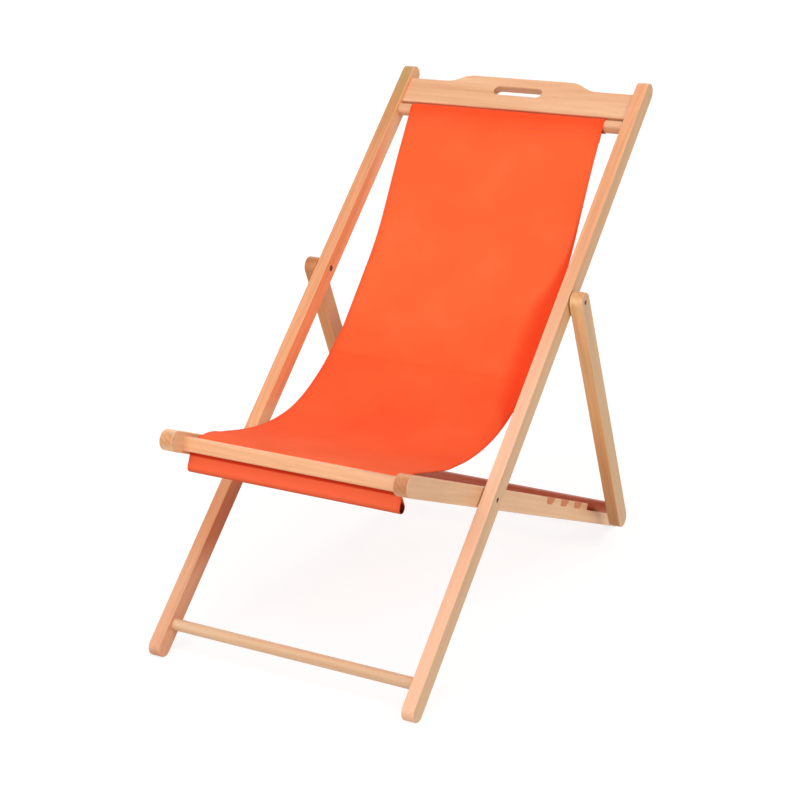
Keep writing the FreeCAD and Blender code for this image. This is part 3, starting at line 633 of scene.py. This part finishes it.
start_index = min(range(len(path)), key=lambda i: math.dist(path[i], START))
crease_index = start_index + round(CREASE_AT / STEP)
rows = [0]
while rows[-1] < len(path) - 1:
    here = rows[-1]
    sharp = any(bend_at(i) > SHARP_BEND for i in range(here, min(here + LOOK_AHEAD, len(path))))
    step = FINE_STEP if sharp or abs(here - crease_index) < CREASE_REACH else COARSE_STEP
    rows.append(min(here + step, len(path) - 1))

# %% [markdown]
# Real cloth is never a perfect extrusion. Between its fixed ends the middle sinks a little, and the
# sheet hangs a touch to the left. Halfway down it keeps the crease of its long storage, folded in
# two, and flares out at the left below it. Near the front bar both free edges ride up, most of all
# the left one, which stands in a low hump. The heights fade to nothing before either dowel.

# %% Where the cloth sinks, folds and flares
LEFT_EDGE, RIGHT_EDGE = (round(float(corner[0]), 6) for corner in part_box("sling"))
WIDTH = RIGHT_EDGE - LEFT_EDGE
BAR_EDGE = (-0.39766, 0.39678)
SINK = 0.0026
CREASE = 0.0012
CREASE_WIDTH = 0.0045
FLARE = 0.0040
CURL = 0.0090
HANGS_LEFT = 0.0020
bar_index = min(range(start_index, len(path)), key=lambda i: math.dist(path[i], BAR_EDGE))
run_length = (bar_index - start_index) * STEP
# Where the flare and the curl start, are full, begin to fade and are gone, along the cloth
FLARE_RUN = (0.480, 0.525, 0.600, 0.740)
CURL_RUN = (0.975, 1.030, 1.054, 1.075)
# Where sink, waves and crease set in, over what length they fade, and over what length the hang grows
FADE_IN = (0.05, 0.25)
FADE_OUT = 0.10
HANG_RUN = 0.12
# How far in from its edge each one reaches: the flare, the curl, and the rise of either edge
FLARE_BAND = 0.120
CURL_BAND = 0.060
LEFT_BAND = 0.085
RIGHT_BAND = 0.075
# Rise of each free edge, as (distance from the dowel along the cloth, height)
LEFT_RISE = [(0.90, 0.0), (0.955, 0.0018), (0.985, 0.0052), (1.010, 0.0060), (1.035, 0.0038), (1.054, 0.0)]
RIGHT_RISE = [(0.84, 0.0), (0.895, -0.0026), (0.945, 0.0), (1.010, 0.0034), (1.035, 0.0022), (1.054, 0.0)]
print("cloth", round(WIDTH, 3), "m wide, and", round(run_length, 3), "m from dowel to bar")

# %% [markdown]
# Each of these is strongest in one place and fades away from it. So the height of the cloth, and its
# shift to the side, are each a sum of a few sizes times smooth steps along the cloth and across it.

# %% How far the cloth stands off its plain curve
def smooth_step(value, low, high):
    """0 below low, 1 above high, and a smooth rise between them."""
    t = min(1.0, max(0.0, (value - low) / (high - low)))
    return t * t * (3 - 2 * t)


def comes_and_goes(value, start, full, fading, gone):
    """0 up to the start, a smooth rise to 1, and a smooth fall back to 0."""
    return smooth_step(value, start, full) * (1 - smooth_step(value, fading, gone))


def near_left(x, width):
    """1 at the left edge of the cloth, and 0 from so far away from it."""
    return 1 - smooth_step(x, LEFT_EDGE, LEFT_EDGE + width)


def from_table(table, along):
    """A smooth curve through the table's points."""
    for (a, low), (b, high) in zip(table, table[1:]):
        if a <= along <= b:
            return low + (high - low) * smooth_step(along, a, b)
    return 0.0


def stand_off(x, along):
    """The height of the cloth over its plain curve, at a distance along from the upper dowel."""
    fade = comes_and_goes(along, *FADE_IN, run_length - FADE_OUT, run_length)
    across = (x - LEFT_EDGE) / WIDTH
    edge = abs(2 * across - 1)
    sink = -SINK * (1 - edge**2)
    # Two shallow waves, some 0.7 m and 0.3 m long, keep the sheet from looking pressed
    wave = 0.0007 * math.sin(9.0 * along + 14.0 * across) + 0.0004 * math.sin(23.0 * along - 9.0 * across)
    left = from_table(LEFT_RISE, along) * near_left(x, LEFT_BAND)
    right = from_table(RIGHT_RISE, along) * smooth_step(x, RIGHT_EDGE - RIGHT_BAND, RIGHT_EDGE)
    crease = CREASE * math.exp(-(((along - CREASE_AT) / CREASE_WIDTH) ** 2))
    return fade * (sink + wave + crease) + left + right


def side_shift(x, along):
    """How far a point of the sheet is moved along X, where less than 0 is to the left."""
    flare = comes_and_goes(along, *FLARE_RUN) * near_left(x, FLARE_BAND)
    curl = comes_and_goes(along, *CURL_RUN) * near_left(x, CURL_BAND)
    hang = smooth_step(along, 0.0, HANG_RUN)
    return -HANGS_LEFT * hang - FLARE * flare + CURL * curl


hump = max(height for along, height in LEFT_RISE)
print("hump at the left edge", hump * 1000, "mm high")

# %% [markdown]
# The sheet itself is a grid of rows and columns, so it is built straight from the numbers. Columns
# lie closer together at the two edges, where the edge is rounded. The UV map is laid in real metres,
# across and along the strip, so that the weave follows the cloth round the dowels with no stretch.

# %% Make the sling
EDGE_BAND = 0.012
EDGE_COLUMNS = (0.0, 0.002, 0.006)
BROAD_COLUMNS = 46


def normal_at(i):
    """The unit normal of the path on its seat side."""
    a, b = path[max(i - 2, 0)], path[min(i + 2, len(path) - 1)]
    length = math.dist(a, b)
    return ((b[1] - a[1]) / length, (a[0] - b[0]) / length)


broad_step = (WIDTH - 2 * EDGE_BAND) / BROAD_COLUMNS
inner = [LEFT_EDGE + EDGE_BAND + broad_step * i for i in range(BROAD_COLUMNS + 1)]
columns = [LEFT_EDGE + inset for inset in EDGE_COLUMNS] + inner
columns += [RIGHT_EDGE - inset for inset in reversed(EDGE_COLUMNS)]

mesh = bpy.data.meshes.new("canvas_sling")
build = bmesh.new()
uv_layer = build.loops.layers.uv.new("cloth")
grid = []
for i in rows:
    along = (i - start_index) * STEP
    ny, nz = normal_at(i)
    line = []
    for x in columns:
        rise = stand_off(x, along)
        spot = (x + side_shift(x, along), path[i][0] + ny * rise, path[i][1] + nz * rise)
        line.append(build.verts.new(spot))
    grid.append(line)
for r in range(len(rows) - 1):
    for c in range(len(columns) - 1):
        face = build.faces.new((grid[r][c], grid[r][c + 1], grid[r + 1][c + 1], grid[r + 1][c]))
        face.smooth = True
        corners = ((r, c), (r, c + 1), (r + 1, c + 1), (r + 1, c))
        for loop, (row, column) in zip(face.loops, corners):
            loop[uv_layer].uv = (columns[column], rows[row] * STEP)
build.to_mesh(mesh)
build.free()
sling = bpy.data.objects.new("canvas_sling", mesh)
bpy.context.collection.objects.link(sling)
print("sling faces", len(mesh.polygons))

# %% [markdown]
# A Solidify modifier gives the sheet its thickness, half to each side of the drawn line. It is
# applied, so that the mesh is final. The alternative, a second copy of the sheet moved along its
# normals and sewn to the first at the edges, would take much more code. The points that ended up
# inside the two loops are marked in an attribute, which the canvas's finish reads later for the
# painted shade in there.

# %% Give the cloth its thickness
CANVAS = 0.0013


def pick(*things):
    """Selects these objects and nothing else, and makes the first one active."""
    bpy.ops.object.select_all(action="DESELECT")
    for thing in things:
        thing.select_set(True)
    bpy.context.view_layer.objects.active = things[0]


pick(sling)
thick = sling.modifiers.new("thickness", "SOLIDIFY")
thick.thickness = CANVAS
thick.offset = 0.0
thick.use_even_offset = True
bpy.ops.object.modifier_apply(modifier="thickness")
# Marks the points inside the loops, for the painted shade there
inside = sling.data.attributes.new("inside", "FLOAT", "POINT")
for vertex, value in zip(sling.data.vertices, inside.data):
    spot = vertex.co.yz
    upper = math.dist(spot, UPPER_DOWEL) < UPPER_RING
    value.value = 1.0 if upper or math.dist(spot, LOWER_DOWEL) < LOWER_RING else 0.0
print("sling faces with thickness", len(sling.data.polygons))

# %% [markdown]
# ## The canvas's finish
# The weave is drawn on the UV map, as threads follow the cloth. A plain weave is one thread over,
# one under, both ways, which is the product of two sine waves. Cotton canvas has about 18 threads
# to the centimetre; that is far finer than a pixel here, so it is drawn three times as coarse.
# Spun cotton also has slubs, thicker lengths of yarn that show as faint streaks both ways.

# %% Threads, slubs and soft patches
THREAD_PITCH = 0.0017
PATCH_SHARE = 0.80


def canvas_pattern(tree, uv, metres):
    """The weave, the slubs, and the tone of the dye, on the cloth's own UV map in metres."""
    # One wave is two threads long: one that lies over, one that lies under
    threads = []
    for axis in ("X", "Y"):
        phase = maths(tree, "MULTIPLY", metres.outputs[axis], math.pi / THREAD_PITCH)
        threads.append(maths(tree, "SINE", phase))
    weave = maths(tree, "MULTIPLY", *threads)

    # Slubs: streaks about 3 mm wide and 90 mm long, along the warp and across it
    along_warp = noise(tree, uv, (320.0, 11.0, 1.0), Detail=3.0).outputs["Fac"]
    across_warp = noise(tree, uv, (11.0, 320.0, 1.0), Detail=3.0).outputs["Fac"]
    slub = between(tree, 0.5, along_warp, across_warp)

    # Soft patches where sun and use have faded the dye a little, some 150 mm across
    patch = noise(tree, uv, (7.0, 7.0, 7.0), Detail=3.0).outputs["Fac"]
    return weave, slub, between(tree, PATCH_SHARE, slub, patch)


print("canvas threads drawn", THREAD_PITCH * 1000, "mm apart")

# %% [markdown]
# The dye isn't one red. The back is a lighter orange than the seat, and the hanging roll is painted
# lighter still, a painted light. Painted shadow makes the cloth a deeper red in three places: under
# the crest rail, right under the front bar, and beside the right stile, where the cloth lies deeper
# than the wood. All of these are places along the strip and across it, so they are ramps on the UV map.

# %% Dye tones, painted light and painted shadow
DYED_RUN = 1.20
TOP_BAND = 0.100
SIDE_STRIP = 0.070
# The painted shadow beside the right stile is this deep, solid on this part of the strip's width, and fades
# beyond
SIDE_SHADOW_DEPTH = 0.92
SIDE_SOLID = 0.30
# Where the painted shadow under the bar sets in and is full, on the front of the roll
BAR_LINE = (1.1466, 1.1502)


def dye_with_painted_light(tree, tone, down):
    """The orange: lighter on the back than on the seat, and lighter again on the roll, a painted light.
    Down is 0 at the upper dowel and 1 after DYED_RUN metres of cloth.
    """
    back = ramp(tree, tone, [(0.30, "#F6602F"), (0.50, "#FB6635"), (0.70, "#FF6E40")])
    seat = ramp(tree, tone, [(0.30, "#F6522A"), (0.50, "#FA592D"), (0.70, "#FE5F33")])
    on_seat = ramp(
        tree, down,
        [(0.32, 0.0), (0.445, 0.50), (0.455, 0.80), (0.55, 1.0), (0.68, 0.9), (0.80, 0.35), (0.90, 0.0)],
    )
    # Painted light: the roll is lighter
    on_roll = ramp(tree, down, [(0.880, 0.0), (0.905, 1.0)])
    return blended(tree, on_roll, blended(tree, on_seat, back, seat), linear("#FF6C44"))


def painted_shadow_shares(tree, from_dowel, from_right, down):
    """How deep the painted shadow is, and how much of it is the painted shadow right under the bar."""
    # Painted shadow of the right stile, in a strip whose width changes down the cloth
    width = ramp(
        tree, down,
        [(0.14, 0.0), (0.22, 0.16), (0.27, 0.45), (0.32, 0.86), (0.42, 1.0), (0.50, 0.70), (0.56, 0.0)],
    )
    strip = maths(tree, "MULTIPLY", width, SIDE_STRIP)
    solid_strip = maths(tree, "MULTIPLY", strip, SIDE_SOLID)
    side = rescaled(tree, from_right, solid_strip, strip, SIDE_SHADOW_DEPTH, 0.0, smooth=True)

    # Painted shadow under the crest rail
    below_dowel = rescaled(tree, from_dowel, 0.0, TOP_BAND)
    top = ramp(tree, below_dowel, [(0.0, 0.72), (0.13, 0.46), (0.25, 0.31), (0.45, 0.15), (0.80, 0.0)])

    # Painted shadow right under the front bar
    under_bar = rescaled(tree, from_dowel, *BAR_LINE, smooth=True)
    shaded = maths(tree, "MAXIMUM", side, maths(tree, "MAXIMUM", top, under_bar))
    return shaded, under_bar


print("red under the bar sets in over", round((BAR_LINE[1] - BAR_LINE[0]) * 1000, 1), "mm")

# %% [markdown]
# Over the dye come more marks. The underside of the roll is painted darker, a painted shade. The
# woven edge, the selvedge, is a little denser and darker. Between threads the cloth is painted
# darker, a painted shade in the hollows of the weave. Inside the two loops it is painted a deep red,
# a painted shade. Sheen stands for the loose fibres.

# %% Plain-woven cotton canvas
UNDERSIDE_SHADE_REACH = 0.020
SELVEDGE = (0.0068, 0.0055)
start_along = start_index * STEP
roll_bottom = ahead(LOWER_DOWEL, LOWER_RING, -90)
bottom_index = min(range(start_index, len(path)), key=lambda i: math.dist(path[i], roll_bottom))
bottom_along = (bottom_index - start_index) * STEP


def cotton_canvas(name):
    """Orange cotton canvas with threads, slubs and a selvedge, all on the cloth's own UV map."""
    material, tree, out = new_material(name)
    uv = add_node(tree, "TexCoord").outputs["UV"]
    metres = add_node(tree, "SeparateXYZ", Vector=uv)
    from_dowel = maths(tree, "SUBTRACT", metres.outputs["Y"], start_along)
    from_right = maths(tree, "SUBTRACT", RIGHT_EDGE, metres.outputs["X"])
    from_middle = maths(tree, "SUBTRACT", from_right, WIDTH / 2)
    from_bottom = maths(tree, "SUBTRACT", from_dowel, bottom_along)

    weave, slub, tone = canvas_pattern(tree, uv, metres)
    down = rescaled(tree, from_dowel, 0.0, DYED_RUN)
    shaded, under_bar = painted_shadow_shares(tree, from_dowel, from_right, down)
    # Painted shadow: a deeper red, deepest right under the front bar
    shadow_red = blended(tree, under_bar, linear("#F8431C"), linear("#D43616"))
    colour = blended(tree, shaded, dye_with_painted_light(tree, tone, down), shadow_red)

    inside_loops = add_node(tree, "Attribute", {"attribute_name": "inside"}).outputs["Fac"]
    # Painted shade: the cloth inside the two loops is painted a deep red
    colour = blended(tree, inside_loops, colour, linear("#A82A12"))

    # Painted shade on the underside of the roll
    near_bottom = rescaled(tree, maths(tree, "ABSOLUTE", from_bottom), 0.0, UNDERSIDE_SHADE_REACH)
    underside_shade = ramp(tree, near_bottom, [(0.15, "#BEB6B2"), (0.45, "#DED8D4"), (0.90, "#FFFFFF")])
    colour = blended(tree, 1.0, colour, underside_shade, "MULTIPLY")

    selvedge_from, selvedge_to = (WIDTH / 2 - distance for distance in SELVEDGE)
    edge = rescaled(tree, maths(tree, "ABSOLUTE", from_middle), selvedge_from, selvedge_to)
    colour = blended(tree, edge, colour, linear("#FAF0EC"), "MULTIPLY")
    # Painted shade between the threads
    colour = blended(tree, 1.0, colour, ramp(tree, weave, [(0.0, 0.93), (0.45, 1.0)]), "MULTIPLY")

    height = maths(tree, "MULTIPLY_ADD", slub, 0.5, weave)
    bump = add_node(tree, "Bump", Strength=0.30, Distance=0.0004, Height=height)
    shader = add_node(
        tree, "BsdfPrincipled", Base_Color=colour, Roughness=0.85, Normal=bump.outputs[0],
        Specular_IOR_Level=0.12, Sheen_Weight=0.06, Sheen_Roughness=0.5, Sheen_Tint=linear("#FFB090"),
    )
    tree.links.new(shader.outputs[0], out.inputs["Surface"])
    return material


sling.data.materials.append(cotton_canvas("cotton_canvas"))
print("roll is dingiest", round(bottom_along, 3), "m down the cloth")

# %% [markdown]
# ## The stitching
# Two rows of thread hold the upper hem, and one row the lower hem. One stitch is a thread's width
# of cotton that comes out of the cloth, lies on it and goes back in 3 mm further on. It starts as a
# short six-sided cylinder, its end faces are drawn out, pushed down into the cloth and shrunk, and
# then an Array modifier repeats it across the sling.

# %% One stitch, and a row of them
STITCH = 0.0030
STITCH_PITCH = 0.0040
THREAD = 0.0007
FLAT_PART = STITCH * 0.6
END_PART = STITCH * 0.2
END_DIP = THREAD * 0.55
END_TAPER = 0.55
THREAD_LIFT = CANVAS / 2 + THREAD * 0.15
ROW_INSET = 0.005
UPPER_ROWS = (0.0045, 0.0165)
LOWER_ROW = 0.016


def stitch_row(name, place, bearing):
    """A row of stitches across the cloth, at a place in the side view, facing a bearing."""
    bpy.ops.object.select_all(action="DESELECT")
    bpy.ops.mesh.primitive_cylinder_add(
        vertices=6, radius=THREAD / 2, depth=FLAT_PART, rotation=(0, math.radians(90), 0)
    )
    stitch = bpy.context.object
    stitch.name = name
    bpy.ops.object.transform_apply(location=True, rotation=True, scale=True)
    bpy.ops.object.mode_set(mode="EDIT")
    bpy.ops.mesh.select_mode(type="FACE")
    for side in (-1, 1):
        bpy.ops.mesh.select_all(action="DESELECT")
        shape = bmesh.from_edit_mesh(stitch.data)
        for face in shape.faces:
            face.select_set(face.normal.x * side > 0.9)
        bmesh.update_edit_mesh(stitch.data)
        bpy.ops.mesh.extrude_region_move(TRANSFORM_OT_translate={"value": (side * END_PART, 0, -END_DIP)})
        bpy.ops.transform.resize(value=(1, END_TAPER, END_TAPER))
    bpy.ops.object.mode_set(mode="OBJECT")
    bpy.ops.object.shade_smooth()
    count = int((WIDTH - 2 * ROW_INSET) / STITCH_PITCH)
    copies = stitch.modifiers.new("row", "ARRAY")
    copies.count = count
    copies.use_relative_offset = False
    copies.use_constant_offset = True
    copies.constant_offset_displace = (STITCH_PITCH, 0, 0)
    bpy.ops.object.modifier_apply(modifier="row")
    first = (LEFT_EDGE + RIGHT_EDGE) / 2 - (count - 1) * STITCH_PITCH / 2
    stitch.location = (first, place[0], place[1])
    stitch.rotation_euler = (math.radians(bearing - 90), 0, 0)
    bpy.ops.object.transform_apply(location=True, rotation=True, scale=True)
    return stitch


def joined(name, parts):
    """Several rows as one piece."""
    pick(*parts)
    bpy.ops.object.join()
    parts[0].name = name
    return parts[0]


upper_rows = []
for below_loop in UPPER_ROWS:
    middle = ahead(START, UPPER_LOOP + below_loop, TOP_HEADING)
    front = ahead(middle, THREAD_LIFT, TOP_HEADING - 90)
    rear = ahead(middle, CLOTH + THREAD_LIFT, TOP_HEADING + 90)
    upper_rows.append(stitch_row("stitch_front", front, TOP_HEADING - 90))
    upper_rows.append(stitch_row("stitch_rear", rear, TOP_HEADING + 90))
upper_stitches = joined("upper_hem_stitches", upper_rows)

low_place, low_heading = main_track[-1 - round(LOWER_ROW / STEP)]
low_front = ahead(low_place, CLOTH + THREAD_LIFT, low_heading - 90)
low_rear = ahead(low_place, THREAD_LIFT, low_heading + 90)
lower_rows = [
    stitch_row("stitch_low_front", low_front, low_heading - 90),
    stitch_row("stitch_low_rear", low_rear, low_heading + 90),
]
lower_stitches = joined("lower_hem_stitches", lower_rows)
print("stitch faces", len(upper_stitches.data.polygons), len(lower_stitches.data.polygons))

# %% [markdown]
# Sewing thread is twisted from fine plies, which shows as slanted ridges. It is a shade deeper than
# the canvas and a little shinier.

# %% Sewing thread
def sewing_thread(name):
    """Twisted cotton thread, with slanted plies drawn 1.6 mm apart, wider than real ones."""
    material, tree, out = new_material(name)
    place = add_node(tree, "TexCoord")
    slant = add_node(tree, "Mapping", Vector=place.outputs["Object"], Rotation=(0.0, 0.0, math.radians(35)))
    plies = add_node(tree, "TexWave", Vector=slant.outputs[0], Scale=200.0, Distortion=0.5)
    colour = ramp(tree, plies.outputs["Fac"], [(0.2, "#C93E1E"), (0.8, "#E9552F")])
    bump = add_node(tree, "Bump", Strength=0.4, Distance=0.0002, Height=plies.outputs["Fac"])
    shader = add_node(
        tree, "BsdfPrincipled", Base_Color=colour, Roughness=0.6, Normal=bump.outputs[0], Sheen_Weight=0.2
    )
    tree.links.new(shader.outputs[0], out.inputs["Surface"])
    return material


hem_stitches = [upper_stitches, lower_stitches]
thread = sewing_thread("cotton_thread")
for stitches in hem_stitches:
    stitches.data.materials.append(thread)
print("thread material on", len(hem_stitches), "pieces")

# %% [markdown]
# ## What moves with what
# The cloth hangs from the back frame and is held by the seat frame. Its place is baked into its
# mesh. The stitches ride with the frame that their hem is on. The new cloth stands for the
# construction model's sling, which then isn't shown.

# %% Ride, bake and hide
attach(upper_stitches, "back_frame")
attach(lower_stitches, "seat_frame")
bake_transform(sling)
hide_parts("sling")

# %% [markdown]
# ## Floor, world and lights
# The photograph has a pure white background. A bright floor would light the chair from below, so
# the floor is a plain pale plane that only looks brighter: to the camera and in reflections, seven
# tenths of it are a glow. The rest is the plain surface, on which the chair's shadow shows as a
# faint grey. The glow and the lit surface add up to plain white.

# %% Floor
bpy.ops.object.select_all(action="DESELECT")
bpy.ops.mesh.primitive_plane_add(size=30.0, location=(0.0, 0.0, -0.0003))
floor = bpy.context.object
floor.name = "studio_floor"
bpy.ops.object.mode_set(mode="EDIT")
bpy.ops.mesh.subdivide(number_cuts=1)
bpy.ops.object.mode_set(mode="OBJECT")


def seen_directly(tree):
    """1 for rays from the camera, off gloss or through glass, and 0 for light that bounces."""
    ray = add_node(tree, "LightPath").outputs
    either = maths(tree, "MAXIMUM", ray["Is Camera Ray"], ray["Is Glossy Ray"])
    return maths(tree, "MAXIMUM", either, ray["Is Transmission Ray"])


floor_material, tree, out = new_material("pale_paper_floor")
diffuse = add_node(tree, "BsdfDiffuse", Color=linear("#E8E6E2"))
glow = add_node(tree, "Emission", Color=WHITE, Strength=1.16)
glow_share = maths(tree, "MULTIPLY", seen_directly(tree), 0.70)
paper = add_node(tree, "MixShader", in0=glow_share, in1=diffuse.outputs[0], in2=glow.outputs[0])
tree.links.new(paper.outputs[0], out.inputs["Surface"])
floor.data.materials.append(floor_material)
print("floor is", round(floor.dimensions.x, 1), "m wide")

# %% [markdown]
# The light in the photograph is soft and comes from nearly all round, and the shadows are faint. Area
# lamps would fall off across the white floor and show their edges, so four very wide suns are used:
# one in front, one above, one at the right, and the weakest behind, for the back of the cloth. The
# world is white to the camera and in reflections, and a dim even light to all else.

# %% World and lights
scene = bpy.context.scene
world = bpy.data.worlds.new("studio_world")
world.use_nodes = True
scene.world = world
tree = world.node_tree
tree.nodes.clear()
out = add_node(tree, "OutputWorld")
ambient = add_node(tree, "Background", Color=WHITE, Strength=0.28)
white = add_node(tree, "Background", Color=WHITE, Strength=1.0)
mixed = add_node(tree, "MixShader", in0=seen_directly(tree), in1=ambient.outputs[0], in2=white.outputs[0])
tree.links.new(mixed.outputs[0], out.inputs["Surface"])


def soft_sun(name, towards, angle, strength):
    """A very soft sun, which lights the floor evenly, from a direction given as a vector."""
    data = bpy.data.lights.new(name, "SUN")
    data.angle = math.radians(angle)
    data.energy = strength
    lamp = bpy.data.objects.new(name, data)
    bpy.context.collection.objects.link(lamp)
    lamp.rotation_euler = Vector(towards).to_track_quat("Z", "Y").to_euler()
    return lamp


# A white face turned to a sun of strength S renders at S / pi
lamps = [
    soft_sun("key_light", (-0.12, -0.86, 0.50), 40.0, 0.42 * math.pi),
    soft_sun("top_light", (0.15, -0.15, 1.0), 60.0, 0.27 * math.pi),
    soft_sun("side_fill", (0.70, -0.25, 0.67), 45.0, 0.33 * math.pi),
    soft_sun("back_fill", (-0.45, 0.80, 0.35), 60.0, 0.24 * math.pi),
]
scene.view_settings.view_transform = "Standard"
print("lamps", len(lamps))

# %% [markdown]
# ## Camera
# The camera's place, tilt and lens were solved from the chair's edges in the photograph. It stands
# 3.5 m away, at the right and in front, 1.5 m above the floor, and looks down by 19 degrees.

# %% Camera at the photograph's place
CAMERA_PLACE = (1.5428, -2.8472, 1.4902)
YAW = 0.503459
PITCH = 0.330695
ROLL = -0.0090423
forward = Vector((-math.sin(YAW) * math.cos(PITCH), math.cos(YAW) * math.cos(PITCH), -math.sin(PITCH)))
level_right = forward.cross(Vector((0, 0, 1))).normalized()
level_up = level_right.cross(forward)
right = level_right * math.cos(ROLL) + level_up * math.sin(ROLL)
up = level_up * math.cos(ROLL) - level_right * math.sin(ROLL)
camera_data = bpy.data.cameras.new("camera")
camera_data.lens = 81.594
camera_data.sensor_width = 36.0
camera = bpy.data.objects.new("camera", camera_data)
bpy.context.collection.objects.link(camera)
looking = Matrix((right, up, -forward)).transposed().to_4x4()
camera.matrix_world = Matrix.Translation(CAMERA_PLACE) @ looking
scene.camera = camera
print("camera lens", camera_data.lens, "mm")
